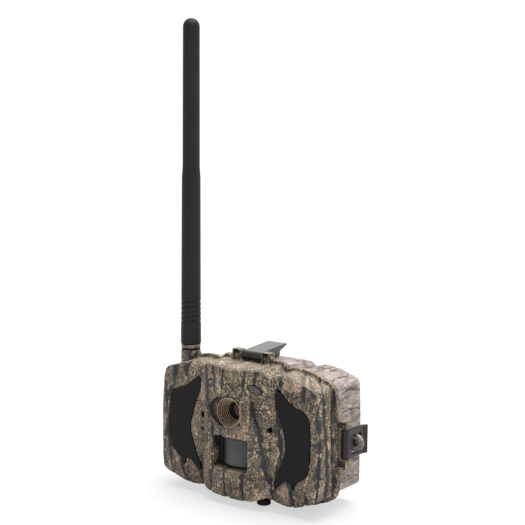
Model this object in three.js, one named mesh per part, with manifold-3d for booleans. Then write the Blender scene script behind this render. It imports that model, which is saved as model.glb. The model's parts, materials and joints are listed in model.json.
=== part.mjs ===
// Trail camera with a hinged front door, two draw latches and a whip antenna.
// Millimetres, +Z up, the lens looks along -Y. The origin is on the flat base pad under the rear case.
import * as THREE from "three";
import { mergeVertices } from "three/addons/utils/BufferGeometryUtils.js";
import Module from "manifold-3d";

const wasm = await Module();
wasm.setup();

// ---------------------------------------------------------------- driving dimensions

const GAP = 0.3; // clearance between pieces that touch
const WALL = 2.4; // moulded wall of both shells
const SEAM_Y = -10; // parting plane between the door and the rear case
const DOOR_Y = SEAM_Y - GAP; // rear face of the door
const WING_Y = -34; // flat front of the two side lobes
const NOSE_Y = -42.5; // foremost line of the centre lobe
const BACK_Y = 26; // back of the rear case
const CENTRE = { half: 31, crest: 25, top: 102, bottom: 4, shoulder: 6, bottomR: 70 };
const SIDE_LOBE = [
  [10, 12.2, 2],
  [46, 4.3, 8],
  [71, 14.5, 5],
  [73.4, 55, 14],
  [68.5, 92, 5],
  [40, 101, 8],
  [10, 91, 2],
]; // x, z and corner radius of one side lobe, seen from the front
const RIM = { out: 2.8, depth: 4 }; // raised rim round the back of the door
const REAR_INSET = 1.4; // how much smaller the rear case is than the door

const LENS = { z: 69, funnelR: 10.9, throatR: 6.5, rings: 8, ledge: 1.05, front: 42.6 };
const TONGUE = { x: 14.2, top: 78.6, bottom: 64.2, r: 4.4, frontY: -43.4 }; // raised lobe right of the lens
const RECESS = { x: -7.4, halfWidth: 12.8, halfHeight: 10.2, floorY: -37.2 };
const PIR = { z: 38.6, width: 30.3, height: 23.3, depth: 7.6, side: 3.6, sill: 1.6, head: 1 };
const SENSOR_Z = 87.7; // height of the light sensor and the indicator
const SENSOR_X = 20;
const PORTS = [
  [-31, 61, 2.2],
  [30.3, 59.5, 1.75],
  [-31.2, 50.3, 1.1],
]; // x, z and radius of the microphone and vent holes in the door
const ANTENNA = { x: -56, y: -18.6, baseR: 7.6, foot: 108.9, stepZ: 236, tipZ: 349, tipR: 6.15 };
const GRIP = { grooves: 5, z: 125.4, pitch: 3.7, depth: 0.5 }; // grooves round the foot of the whip
const COLLAR = { r: 7.4, bore: 3.5, z0: 105.9, z1: 108.6, bevel: 0.4 };
const HINGE = { x: -78, y: SEAM_Y, r: 2.6, pinR: 1.1 };
const SIDE_LATCH = { x: 76.5, y: -8.5, r: 3, z0: 42, z1: 62.4 };
const TOP_LATCH = { x: 1, y: -15.7, z: 106.6, r: 2.9, half: 8.5, earWidth: 8.4 };
const EYE = { x: 78.2, y: 0.9, z: 51.3, r: 6.2, thick: 3.8, holeR: 1.8 };
const PIN_CLEARANCE = 0.25;
const CELL = { r: 7.25, length: 50.5, z: 24 };
const PAD = { half: 30, y0: -9.6, y1: 24, top: 9 };
const TRIPOD = { y: 14, bore: 3.18, r: 4.2 };
const STRAP = { x: 36, width: 8, z0: 34, z1: 76, y: 33, slotHeight: 30, slotDepth: 4.6 };
const JACK = { x: 19.4, y: -26 };
const PANEL = { front: -13.3, back: -11.7 }; // the door's inner panel
const BOARD_Y = -17.8;
const LED = { x: 48.2, z: 35.5, pitchX: 5, pitchZ: 7, rows: 6, columns: 3, r: 1.9, front: -31, back: -29 };
const LED_BOARD = { inner: 38, width: 23, front: -29.4, back: -27.8, z0: 26, z1: 80 };

// ---------------------------------------------------------------- solids from three.js geometry

function solid(geometry) {
  const bare = geometry.index ? geometry.toNonIndexed() : geometry.clone();
  bare.deleteAttribute("normal");
  bare.deleteAttribute("uv");
  const merged = mergeVertices(bare, 1e-4);
  return new wasm.Manifold(
    new wasm.Mesh({
      numProp: 3,
      vertProperties: merged.attributes.position.array,
      triVerts: new Uint32Array(merged.index.array),
    }),
  );
}

function join(...solids) {
  return solids.reduce((all, next) => all.add(next));
}

function cut(base, ...tools) {
  return tools.reduce((left, tool) => left.subtract(tool), base);
}

function common(...solids) {
  return solids.reduce((left, next) => left.intersect(next));
}

function box(x0, x1, y0, y1, z0, z1) {
  const geometry = new THREE.BoxGeometry(x1 - x0, y1 - y0, z1 - z0);
  return solid(geometry.translate((x0 + x1) / 2, (y0 + y1) / 2, (z0 + z1) / 2));
}

function rodZ(r, x, y, z0, z1, sides = 16) {
  const geometry = new THREE.CylinderGeometry(r, r, z1 - z0, sides).rotateX(Math.PI / 2);
  return solid(geometry.translate(x, y, (z0 + z1) / 2));
}

function rodY(r, x, z, y0, y1, sides = 16) {
  const geometry = new THREE.CylinderGeometry(r, r, y1 - y0, sides);
  return solid(geometry.translate(x, (y0 + y1) / 2, z));
}

function rodX(r, y, z, x0, x1, sides = 16) {
  const geometry = new THREE.CylinderGeometry(r, r, x1 - x0, sides).rotateZ(Math.PI / 2);
  return solid(geometry.translate((x0 + x1) / 2, y, z));
}

// An outline drawn in X and Z, extruded from y0 to y1.
function prismY(shape, y0, y1, curveSegments = 3) {
  const geometry = new THREE.ExtrudeGeometry(shape, { depth: y1 - y0, bevelEnabled: false, curveSegments });
  return solid(geometry.rotateX(Math.PI / 2).translate(0, y1, 0));
}

// An outline drawn in X and Y, extruded from z0 to z1.
function prismZ(shape, z0, z1, curveSegments = 3) {
  const geometry = new THREE.ExtrudeGeometry(shape, { depth: z1 - z0, bevelEnabled: false, curveSegments });
  return solid(geometry.translate(0, 0, z0));
}

// An outline drawn in Y and Z, extruded from x0 to x1.
function prismX(shape, x0, x1, curveSegments = 3) {
  const geometry = new THREE.ExtrudeGeometry(shape, { depth: x1 - x0, bevelEnabled: false, curveSegments });
  const turn = new THREE.Matrix4().makeBasis(
    new THREE.Vector3(0, 1, 0),
    new THREE.Vector3(0, 0, 1),
    new THREE.Vector3(1, 0, 0),
  );
  return solid(geometry.applyMatrix4(turn).translate(x0, 0, 0));
}

// A profile of [radius, height] points turned about the vertical axis through (x, y).
function turnedZ(profile, x, y, segments = 24) {
  const geometry = new THREE.LatheGeometry(profile.map(([r, z]) => new THREE.Vector2(r, z)), segments);
  return solid(geometry.rotateX(Math.PI / 2).translate(x, y, 0));
}

// The same about a front-to-back axis through (x, z): heights are distances in front of y = 0.
function turnedY(profile, x, z, segments = 24) {
  const geometry = new THREE.LatheGeometry(profile.map(([r, y]) => new THREE.Vector2(r, y)), segments);
  return solid(geometry.rotateX(Math.PI).translate(x, 0, z));
}

function polygon(points) {
  return new THREE.Shape(points.map(([a, b]) => new THREE.Vector2(a, b)));
}

function ellipse(x, z, halfWidth, halfHeight, turn = 0) {
  const shape = new THREE.Shape();
  shape.absellipse(x, z, halfWidth, halfHeight, 0, 2 * Math.PI, false, turn);
  return shape;
}

// A convex outline, [a, b, corner radius] anticlockwise, moved inwards and its corners rounded.
function roundedShape(points, inset = 0) {
  const lines = points.map(([a, b], i) => {
    const [c, d] = points[(i + 1) % points.length];
    const length = Math.hypot(c - a, d - b);
    const normal = [-(d - b) / length, (c - a) / length];
    return { a: a + normal[0] * inset, b: b + normal[1] * inset, u: (c - a) / length, v: (d - b) / length };
  });
  const corners = lines.map((line, i) => {
    const before = lines[(i + lines.length - 1) % lines.length];
    const cross = before.u * line.v - before.v * line.u;
    const along = ((line.a - before.a) * line.v - (line.b - before.b) * line.u) / cross;
    return [before.a + before.u * along, before.b + before.v * along];
  });
  const shape = new THREE.Shape();
  corners.forEach(([a, b], i) => {
    const into = lines[(i + lines.length - 1) % lines.length];
    const out = lines[i];
    const r = Math.max(points[i][2] - inset, 0.5);
    const start = [a - into.u * r, b - into.v * r];
    if (i) shape.lineTo(...start);
    else shape.moveTo(...start);
    shape.quadraticCurveTo(a, b, a + out.u * r, b + out.v * r);
  });
  return shape;
}

function mirrored(points) {
  return points.map(([a, ...rest]) => [-a, ...rest]).reverse();
}

function forSide(points, side) {
  return side > 0 ? points : mirrored(points);
}

// ---------------------------------------------------------------- the lobed outline

function centreOutline(inset) {
  const half = CENTRE.half - inset;
  const r = CENTRE.bottomR - inset;
  const centreZ = CENTRE.bottom + CENTRE.bottomR;
  const sweep = Math.asin(half / r);
  const shape = new THREE.Shape();
  shape.absarc(0, centreZ, r, -Math.PI / 2 - sweep, -Math.PI / 2 + sweep, false);
  shape.lineTo(half, CENTRE.top - CENTRE.shoulder - inset * 0.4);
  shape.lineTo(CENTRE.crest - inset * 0.4, CENTRE.top - inset);
  shape.lineTo(-CENTRE.crest + inset * 0.4, CENTRE.top - inset);
  shape.lineTo(-half, CENTRE.top - CENTRE.shoulder - inset * 0.4);
  return shape;
}

function sideOutline(side, inset) {
  return roundedShape(forSide(SIDE_LOBE, side), inset);
}

// The whole three-lobed outline as one flat block from y0 to y1.
function lobedBlock(inset, y0, y1) {
  return join(
    prismY(centreOutline(inset), y0, y1),
    prismY(sideOutline(1, inset), y0, y1),
    prismY(sideOutline(-1, inset), y0, y1),
  );
}

// ---------------------------------------------------------------- door: outer form

const CENTRE_PLAN = [
  [-31, -33.6, 1],
  [-26, -38.6, 4],
  [-13, -41.6, 5],
  [0, NOSE_Y, 5],
  [13, -41.6, 5],
  [26, -38.6, 4],
  [31, -33.6, 1],
  [31, 6, 1],
  [-31, 6, 1],
]; // x, y and corner radius, seen from above
const SIDE_PLAN = [
  [10, WING_Y, 1],
  [73.6, WING_Y, 5.5],
  [73.6, 6, 1],
  [10, 6, 1],
];
const CENTRE_PROFILE = [
  [NOSE_Y - 0.5, 10, 5],
  [-37, 3, 4],
  [6, 3, 1],
  [6, 103, 1],
  [-39, 103, 3],
  [NOSE_Y - 0.5, 99, 2],
]; // y, z and corner radius, seen from the side
const SIDE_PROFILE = [
  [WING_Y - 0.3, 13, 4],
  [-28, 2, 4],
  [6, 2, 1],
  [6, 103, 1],
  [-27, 103, 3],
  [WING_Y - 0.3, 96, 4],
];

function doorForm(inset) {
  const reach = 80;
  const centre = common(
    prismY(centreOutline(inset), -50, 4),
    prismZ(roundedShape(CENTRE_PLAN, inset), -5, 110),
    prismX(roundedShape(CENTRE_PROFILE, inset), -reach, reach),
  );
  const sides = [1, -1].map((side) =>
    common(
      prismY(sideOutline(side, inset), -50, 4),
      prismZ(roundedShape(forSide(SIDE_PLAN, side), inset), -5, 110),
      prismX(roundedShape(SIDE_PROFILE, inset), -reach, reach),
    ),
  );
  return join(centre, ...sides);
}

// Half of one infrared window, drawn for +X: a leaning leaf with one tip above and two below.
function wingShape(side, grow = 0) {
  const at = (x, z) => new THREE.Vector2(side * x, z);
  const shape = new THREE.Shape();
  shape.moveTo(side * (35.6 - grow), 88.8 + grow);
  shape.splineThru([
    at(41.3, 85.3 + grow),
    at(48, 80 + grow),
    at(56.3, 77 + grow),
    at(61 + grow, 74 + grow),
    at(63.6 + grow, 66),
    at(63.9 + grow, 54),
    at(63.4 + grow, 41),
    at(61.2 + grow, 32),
    at(56.5, 28.4 - grow),
    at(52.6, 25 - grow),
    at(50 + grow, 20 - grow),
  ]);
  shape.lineTo(side * (49 - grow), 20.4 - grow);
  shape.splineThru([at(47.6, 24.8 - grow), at(44.2, 25.8 - grow), at(39.8, 23 - grow), at(34.8, 18 - grow)]);
  shape.lineTo(side * (33.8 - grow), 18.6 - grow);
  shape.splineThru([
    at(34 - grow, 23.5),
    at(38.8 - grow, 34),
    at(42 - grow, 42),
    at(43.4 - grow, 49),
    at(42.4 - grow, 57),
    at(38.1 - grow, 70.3),
    at(34.2 - grow, 81),
    at(34 - grow, 87 + grow),
  ]);
  return shape;
}

const LED_OPENING = [
  [45.4, 32, 3],
  [59.4, 32, 3],
  [61.4, 70, 3],
  [45.4, 74, 3],
]; // x, z and corner radius of the light path behind each infrared window

const SCREWS = [
  [64, 26],
  [62, 86],
  [-64, 26],
  [-62, 86],
];

function doorEars() {
  const { x, y, z, half, earWidth } = TOP_LATCH;
  const top = [1, -1].map((side) => {
    const middle = x + side * (half + 0.4 + earWidth / 2);
    const ear = box(middle - earWidth / 2, middle + earWidth / 2, y - 3.3, y + 3.2, 100.6, z + 3.7);
    return cut(ear, box(middle - 2.1, middle + 1.7, y - 4, y - 1.7, z + 0.9, z + 2.8));
  });
  const sideEar = (z0, z1) => box(72, SIDE_LATCH.x + 2.6, SIDE_LATCH.y - 4.5, SIDE_LATCH.y + 4, z0, z1);
  const { z0, z1 } = SIDE_LATCH;
  const upper = sideEar(z1 + 0.4, z1 + 7);
  const lower = sideEar(z0 - 7.6, z0 - 0.4);
  const overRear = box(60, 73.6, DOOR_Y, 10, 20, 80);
  return [...top, cut(upper, overRear), cut(lower, overRear)];
}

function hingeKnuckle(z0, z1, towardY, reach) {
  const barrel = rodZ(HINGE.r, HINGE.x, HINGE.y, z0, z1);
  const y0 = Math.min(HINGE.y, towardY);
  const y1 = Math.max(HINGE.y, towardY);
  return join(barrel, box(HINGE.x - 0.5, reach, y0, y1, z0, z1));
}

const DOOR_KNUCKLES = [
  [30, 43.8],
  [62.2, 76],
];
const REAR_KNUCKLE = [44.2, 61.8];

function doorCutters() {
  const { x, y, r, z0, z1 } = SIDE_LATCH;
  const cutters = [1, -1].flatMap((side) => [
    prismY(wingShape(side, 0.3), WING_Y - 2, WING_Y + 2, 2),
    prismY(roundedShape(forSide(LED_OPENING, side)), WING_Y - 2, WING_Y + 6),
  ]);
  cutters.push(
    rodY(LENS.funnelR + GAP + 0.1, 0, LENS.z, -46, -30, 24),
    prismY(ellipse(RECESS.x, LENS.z - 0.6, RECESS.halfWidth, RECESS.halfHeight), -46, RECESS.floorY, 12),
    box(-PIR.width / 2, PIR.width / 2, -46, -28, PIR.z - PIR.height / 2, PIR.z + PIR.height / 2),
    rodY(2.7, -SENSOR_X, SENSOR_Z, -46, -30, 16),
    prismY(ellipse(SENSOR_X, SENSOR_Z, 6.2, 2.9, -0.25), -46, -30, 8),
    ...PORTS.map(([x0, portZ, portR]) => rodY(portR, x0, portZ, -46, -30, 14)),
    rodZ(3.5, ANTENNA.x, ANTENNA.y, 80, 112),
    rodZ(HINGE.pinR + PIN_CLEARANCE, HINGE.x, HINGE.y, 20, 90, 12),
    rodZ(HINGE.r + 0.5, HINGE.x, HINGE.y, REAR_KNUCKLE[0] - 0.3, REAR_KNUCKLE[1] + 0.3),
    rodX(1.1 + PIN_CLEARANCE, TOP_LATCH.y, TOP_LATCH.z, -20, 22, 12),
    rodX(
      TOP_LATCH.r + 0.5,
      TOP_LATCH.y,
      TOP_LATCH.z,
      TOP_LATCH.x - TOP_LATCH.half - 0.4,
      TOP_LATCH.x + TOP_LATCH.half + 0.4,
    ),
    box(x - r - 0.5, 90, y - r - 1, 20, z0 - 0.4, z1 + 0.4),
    box(x - r - 1.1, 90, y - r - 4.8, y - r + 0.1, z0 - 6, z1 + 5.4),
    rodZ(1 + PIN_CLEARANCE, x, y, z0 - 6.4, z1 + 5.8, 12),
    rodZ(3, JACK.x, JACK.y, -2, 30, 16),
  );
  SCREWS.forEach(([sx, sz]) => cutters.push(rodY(0.9, sx, sz, -24, 0, 8)));
  return cutters;
}

// A lobe that stands proud of the door and overhangs the right edge of the lens funnel.
function lensTongue() {
  const { x, top, bottom, r, frontY } = TONGUE;
  const lobe = join(
    rodY(r, x, top, frontY, -38, 20),
    rodY(r, x, bottom, frontY, -38, 20),
    box(x - r, x + r, frontY, -38, bottom, top),
  );
  return cut(lobe, rodY(LENS.funnelR + GAP + 0.1, 0, LENS.z, -LENS.front - GAP, -30, 24));
}

function frontShell() {
  const pirHalfWidth = PIR.width / 2 + 2.2;
  const pirHalfHeight = PIR.height / 2 + 2.2;
  const outer = join(doorForm(0), lobedBlock(-RIM.out, DOOR_Y - RIM.depth, 4));
  const hollow = doorForm(WALL);
  const mouth = lobedBlock(WALL - 0.3, DOOR_Y - RIM.depth - 2, 20);
  const shell = cut(outer, hollow, mouth, box(-90, 90, DOOR_Y, 20, -10, 120));
  const inside = doorForm(0.4);
  const blocks = [
    box(-24, 24, -42, -34, LENS.z - 13, LENS.z + 13),
    box(-pirHalfWidth, pirHalfWidth, -42, -32, PIR.z - pirHalfHeight, PIR.z + pirHalfHeight),
    rodZ(5.2, JACK.x, JACK.y, 5, 11),
    ...SCREWS.map(([sx, sz]) => rodY(2.6, sx, sz, -33, PANEL.front - GAP, 12)),
  ].map((block) => common(block, inside));
  const boss = rodZ(7.5, ANTENNA.x, ANTENNA.y, 86, 104.4, 28);
  const knuckles = DOOR_KNUCKLES.map(([z0, z1]) => hingeKnuckle(z0, z1, HINGE.y - 2.4, -72));
  const door = cut(join(shell, ...blocks, boss, ...knuckles, ...doorEars()), ...doorCutters());
  return join(door, lensTongue());
}

// ---------------------------------------------------------------- door: optics and sensors

function irWindow(side) {
  return prismY(wingShape(side), WING_Y + 0.1, WING_Y + 1.7, 2);
}

function ledBoard(side) {
  const { inner, width, front, back, z0, z1 } = LED_BOARD;
  const x0 = side > 0 ? inner : -inner - width;
  const board = box(x0, x0 + width, front, back, z0, z1);
  const leds = [];
  for (let row = 0; row < LED.rows; row += 1) {
    for (let column = 0; column < LED.columns; column += 1) {
      const x = side * (LED.x + LED.pitchX * column);
      leds.push(rodY(LED.r, x, LED.z + LED.pitchZ * row, LED.front, LED.back, 6));
    }
  }
  return join(board, ...leds);
}

// A stepped funnel: each ring is a small ledge nearer the throat.
function lensFunnel() {
  const { front } = LENS;
  const back = front - LENS.rings * LENS.ledge - 0.9;
  const profile = [
    [LENS.throatR, back],
    [LENS.funnelR, back],
    [LENS.funnelR, front],
  ];
  const step = (LENS.funnelR - LENS.throatR - 0.8) / LENS.rings;
  for (let ring = 0; ring < LENS.rings; ring += 1) {
    const r = LENS.funnelR - 0.8 - ring * step;
    profile.push([r, front - ring * LENS.ledge]);
    profile.push([r, front - (ring + 1) * LENS.ledge]);
  }
  profile.push([LENS.throatR, front - LENS.rings * LENS.ledge]);
  profile.push([LENS.throatR, back]);
  return turnedY(profile, 0, LENS.z, 24);
}

function lensBarrel() {
  const profile = [
    [4.2, 24],
    [7.4, 24],
    [7.4, 33],
    [5.7, 33],
    [5.7, 27],
    [4.2, 27],
    [4.2, 24],
  ];
  return turnedY(profile, 0, LENS.z, 20);
}

function lensGlass() {
  const profile = [
    [0, 27.3],
    [5.4, 27.3],
    [5.4, 28.8],
    [4.2, 29.9],
    [2.4, 30.7],
    [0, 31],
  ];
  return turnedY(profile, 0, LENS.z, 20);
}

function pirFrame() {
  const halfW = PIR.width / 2 - GAP;
  const halfH = PIR.height / 2 - GAP;
  const y0 = NOSE_Y + PIR.depth;
  const outer = box(-halfW, halfW, y0, y0 + 3, PIR.z - halfH, PIR.z + halfH);
  const inW = halfW - PIR.side;
  return cut(outer, box(-inW, inW, y0 - 1, y0 + 4, PIR.z - halfH + PIR.sill, PIR.z + halfH - PIR.head));
}

// A thin sheet bent about a vertical axis.
function pirLens() {
  const half = PIR.width / 2 - PIR.side - 2 * GAP;
  const foot = PIR.z - PIR.height / 2 + PIR.sill + 2 * GAP;
  const head = PIR.z + PIR.height / 2 - PIR.head - 2 * GAP;
  const r = 17;
  const centreY = NOSE_Y + PIR.depth + 1 + r * Math.cos(Math.asin(half / r));
  const ends = Math.asin(half / r);
  const shape = new THREE.Shape();
  shape.absarc(0, centreY, r, -Math.PI / 2 - ends, -Math.PI / 2 + ends, false);
  shape.absarc(0, centreY, r - 0.8, -Math.PI / 2 + ends, -Math.PI / 2 - ends, true);
  return prismZ(shape, foot, head, 10);
}

function pirSensor() {
  return join(rodY(4.1, 0, PIR.z, -29, -24.6, 20), rodY(4.7, 0, PIR.z, -24.9, -24, 20));
}

// ---------------------------------------------------------------- door: inner panel and controls

const KEYS = [
  ["key_up", 0, 44],
  ["key_down", 0, 22],
  ["key_left", -11, 33],
  ["key_right", 11, 33],
  ["key_ok", 0, 33],
  ["key_menu", -26, 33],
];
const KEY_R = 4;
const SCREEN = { half: 26, z0: 54, z1: 94 };
const CARD = { x0: 34, x1: 62, z0: 58, z1: 82 };
const SIM = { x0: 36, x1: 61, z0: 38, z1: 53 };
const SWITCH = { x: -46, z: 33, half: 3, halfHeight: 2, travel: 8 };

function innerPanel() {
  const plate = lobedBlock(5.4, PANEL.front, PANEL.back);
  const bezel = 1.5; // how far the panel laps over the screen's edge
  const slotHalf = SWITCH.halfHeight + 0.4;
  const window = (x0, x1, z0, z1) => box(x0, x1, -20, 0, z0, z1);
  const cutters = [
    window(-SCREEN.half + bezel, SCREEN.half - bezel, SCREEN.z0 + bezel, SCREEN.z1 - bezel),
    window(CARD.x0, CARD.x1 + 1, CARD.z0, CARD.z1),
    window(SIM.x0 - 0.5, SIM.x1 + 0.5, SIM.z0 - 0.5, SIM.z1 + 0.5),
    window(
      SWITCH.x - SWITCH.half - GAP,
      SWITCH.x + SWITCH.half + SWITCH.travel + GAP,
      SWITCH.z - slotHalf,
      SWITCH.z + slotHalf,
    ),
    ...KEYS.map(([, x, z]) => rodY(KEY_R + GAP, x, z, -20, 0, 20)),
    ...SCREWS.map(([x, z]) => rodY(1.5, x, z, -20, 0, 12)),
    rodZ(8, ANTENNA.x, ANTENNA.y, 80, 110),
  ];
  return cut(plate, ...cutters);
}

function key(x, z) {
  return join(rodY(KEY_R, x, z, -14.6, -10.9, 20), rodY(KEY_R + 1, x, z, -15.2, -14.2, 20));
}

function switchKnob() {
  const { x, z, half, halfHeight } = SWITCH;
  const z0 = z - halfHeight;
  const z1 = z + halfHeight;
  const foot = box(x - half - 1.5, x + half + 1.5, -15.2, -14, z0 - 1.4, z1 + 1.4);
  const ribs = [-2, 0, 2].map((dx) => box(x + dx - 0.4, x + dx + 0.4, -11.2, -10.6, z0, z1));
  return join(foot, box(x - half, x + half, -14.4, -11, z0, z1), ...ribs);
}

function screw(x, z) {
  const head = rodY(2.4, x, z, PANEL.back + GAP, PANEL.back + GAP + 1.1, 14);
  const shank = rodY(0.6, x, z, -20, PANEL.back + GAP + 0.1, 8);
  const slot = box(x - 1.8, x + 1.8, PANEL.back + 1, 0, z - 0.35, z + 0.35);
  const cross = box(x - 0.35, x + 0.35, PANEL.back + 1, 0, z - 1.8, z + 1.8);
  return cut(join(head, shank), slot, cross);
}

function cardSocket() {
  const outer = box(CARD.x0 - 4, CARD.x1 - 8, -17.2, -13.7, CARD.z0 - 1, CARD.z1 + 1);
  return cut(outer, box(CARD.x0 - 2.2, CARD.x1 + 9, -16.6, -14.2, CARD.z0 + 0.4, CARD.z1 - 0.4));
}

// ---------------------------------------------------------------- antenna

function antennaWhip() {
  const { x, y, baseR, foot, stepZ, tipZ, tipR } = ANTENNA;
  const profile = [
    [0, foot],
    [baseR, foot],
    [baseR - 0.1, GRIP.z - 3.4],
  ];
  for (let groove = 0; groove < GRIP.grooves; groove += 1) {
    const z = GRIP.z + groove * GRIP.pitch;
    const r = baseR - 0.15 - groove * 0.03;
    profile.push([r, z], [r - GRIP.depth, z + 0.6], [r, z + 1.2]);
  }
  profile.push([tipR + 0.8, stepZ - 2], [tipR + 0.25, stepZ + 5], [tipR, tipZ - 8]);
  for (let turn = 1; turn <= 3; turn += 1) {
    const angle = (turn * Math.PI) / 6;
    profile.push([turn === 3 ? 0 : tipR * Math.cos(angle), tipZ - tipR + tipR * Math.sin(angle)]);
  }
  return turnedZ(profile, x, y, 16);
}

function antennaCollar() {
  const { r, bore, z0, z1, bevel } = COLLAR;
  const profile = [
    [bore, z0],
    [r - bevel, z0],
    [r, z0 + bevel],
    [r, z1 - bevel],
    [r - bevel, z1],
    [bore, z1],
    [bore, z0],
  ];
  return turnedZ(profile, ANTENNA.x, ANTENNA.y, 18);
}

function antennaSeal() {
  const ring = { r: 6.1, z: 105.15, halfWidth: 1, halfHeight: 0.6 };
  const profile = [];
  for (let turn = 0; turn <= 6; turn += 1) {
    const angle = (turn * Math.PI) / 3;
    profile.push([ring.r + ring.halfWidth * Math.cos(angle), ring.z + ring.halfHeight * Math.sin(angle)]);
  }
  profile[6] = profile[0];
  return turnedZ(profile, ANTENNA.x, ANTENNA.y, 16);
}

function antennaStud() {
  return join(
    rodZ(3.1, ANTENNA.x, ANTENNA.y, 84, 108.5, 16),
    rodZ(4.1, ANTENNA.x, ANTENNA.y, 82.5, 85.5, 6),
  );
}

// ---------------------------------------------------------------- latches

function topLatch() {
  const { x, y, z, r, half } = TOP_LATCH;
  const profile = polygon([
    [y, z + r],
    [y, z],
    [-0.4, 107.2],
    [0.2, 102.8],
    [3.2, 102.8],
    [5.2, 104],
    [5.6, 107.4],
    [14.4, 111.2],
    [13.6, 112],
  ]);
  const blank = join(rodX(r, y, z, x - half, x + half, 20), prismX(profile, x - half, x + half));
  return cut(blank, rodX(1.1 + PIN_CLEARANCE, y, z, -20, 22, 12));
}

function topLatchPin() {
  const { x, y, z } = TOP_LATCH;
  return rodX(1.1, y, z, x - 16.6, x + 16.6, 12);
}

function sideLatch() {
  const { x, y, r, z0, z1 } = SIDE_LATCH;
  const outer = x + r;
  const profile = polygon([
    [outer - 2.6, y],
    [outer, y],
    [outer, 9.5],
    [outer + 1.6, 13.6],
    [outer + 0.4, 14.2],
    [outer - 2.2, 11.4],
    [outer - 2.6, 9],
  ]);
  const blank = join(rodZ(r, x, y, z0, z1, 20), prismZ(profile, z0, z1));
  const slot = box(60, 100, -5, 7.2, EYE.z - 6.9, EYE.z + 6.9);
  return cut(blank, rodZ(1 + PIN_CLEARANCE, x, y, z0 - 2, z1 + 2, 12), slot);
}

// ---------------------------------------------------------------- rear case

const REAR_SIDE_PLAN = [
  [10, -12, 1],
  [72.2, -12, 1],
  [71, BACK_Y, 10],
  [10, BACK_Y, 1],
];
const REAR_CENTRE_PLAN = [
  [-32, -12, 1],
  [32, -12, 1],
  [28, BACK_Y + 0.6, 5],
  [-28, BACK_Y + 0.6, 5],
];
const REAR_PROFILE = [
  [-12, 2, 1],
  [BACK_Y + 0.6, 5.5, 8],
  [BACK_Y + 0.6, 100, 8],
  [-12, 103.4, 1],
];

function rearForm(inset) {
  const reach = 80;
  const outline = REAR_INSET + inset;
  const profile = prismX(roundedShape(REAR_PROFILE, inset), -reach, reach);
  const centre = common(
    prismY(centreOutline(outline), SEAM_Y, 40),
    prismZ(roundedShape(REAR_CENTRE_PLAN, inset), -5, 110),
  );
  const sides = [1, -1].map((side) =>
    common(
      prismY(sideOutline(side, outline), SEAM_Y, 40),
      prismZ(roundedShape(forSide(REAR_SIDE_PLAN, side), inset), -5, 110),
    ),
  );
  return common(join(centre, ...sides), profile);
}

function padlockEye() {
  const { x, y, z, r, thick } = EYE;
  return join(rodY(r, x, z, y, y + thick, 28), box(66.4, x, y, y + thick, z - r, z + r));
}

function strapLoop(side) {
  const { x, width, z0, z1, y, slotHeight, slotDepth } = STRAP;
  const middle = (z0 + z1) / 2;
  const shape = roundedShape([
    [BACK_Y - 2, z0 - 2, 1],
    [y, z0 + 3, 3],
    [y, z1 - 3, 3],
    [BACK_Y - 2, z1 + 2, 1],
  ]);
  const left = side * x - width / 2;
  const slotZ = slotHeight / 2;
  const slot = box(left - 5, left + width + 5, y - 2 - slotDepth, y - 2, middle - slotZ, middle + slotZ);
  return cut(prismX(shape, left, left + width), slot);
}

function rearShell() {
  const pad = prismZ(
    roundedShape([
      [-PAD.half, PAD.y0, 4],
      [PAD.half, PAD.y0, 4],
      [PAD.half, PAD.y1, 6],
      [-PAD.half, PAD.y1, 6],
    ]),
    0,
    PAD.top,
  );
  const shell = cut(
    rearForm(0),
    common(rearForm(WALL), box(-90, 90, -6, 60, 0, 120)),
    lobedBlock(REAR_INSET + 6.6, -20, -5),
  );
  const ridge = box(TOP_LATCH.x - 7, TOP_LATCH.x + 7, -3.6, -0.9, 98, 104.4);
  const block = rodZ(7, 0, TRIPOD.y, 4, 11.6, 20);
  const whole = join(
    shell,
    pad,
    block,
    ridge,
    padlockEye(),
    strapLoop(1),
    strapLoop(-1),
    hingeKnuckle(...REAR_KNUCKLE, HINGE.y + 2.4, -69.6),
  );
  const groove = cut(lobedBlock(REAR_INSET + 2, -12, -8), lobedBlock(REAR_INSET + 4.8, -13, -7));
  return cut(
    whole,
    groove,
    rodZ(TRIPOD.r, 0, TRIPOD.y, -1, 8.4, 20),
    rodY(EYE.holeR, EYE.x, EYE.z, 0, 6, 16),
    rodZ(HINGE.pinR + PIN_CLEARANCE, HINGE.x, HINGE.y, 20, 90, 12),
  );
}

function doorSeal() {
  return cut(
    lobedBlock(REAR_INSET + 2 + GAP, SEAM_Y, -8.3),
    lobedBlock(REAR_INSET + 4.8 - GAP, -13, -7),
  );
}

function tripodInsert() {
  return cut(rodZ(TRIPOD.r - GAP, 0, TRIPOD.y, 0.2, 8, 20), rodZ(TRIPOD.bore, 0, TRIPOD.y, -1, 6.6, 20));
}

// ---------------------------------------------------------------- battery pack

const ROW_Y = [14.6, -0.3];
const COLUMN = 15;

function batteryTray() {
  const half = 2 * COLUMN + 1.2;
  const z0 = CELL.z - 4;
  const z1 = CELL.z + CELL.length + 4;
  const outer = box(-half - 1.4, half + 1.4, -7, 23.4, z0, z1);
  const room = box(-half, half, -20, 22.2, z0 + 1.6, z1 - 1.6);
  return cut(outer, room);
}

function cell(column, row) {
  const x = (column - 1.5) * COLUMN;
  const up = (column + row) % 2 === 0;
  const z0 = CELL.z + (up ? 0 : 1.2);
  const z1 = CELL.z + CELL.length - (up ? 1.2 : 0);
  const nubZ = up ? z1 : z0 - 1;
  const nub = rodZ(2.7, x, ROW_Y[row], nubZ - 0.2, nubZ + 1.2, 12);
  return join(rodZ(CELL.r, x, ROW_Y[row], z0, z1, 14), nub);
}

function contactPlate(z0, z1) {
  return box(-2 * COLUMN, 2 * COLUMN, -5, 20, z0, z1);
}

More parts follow.
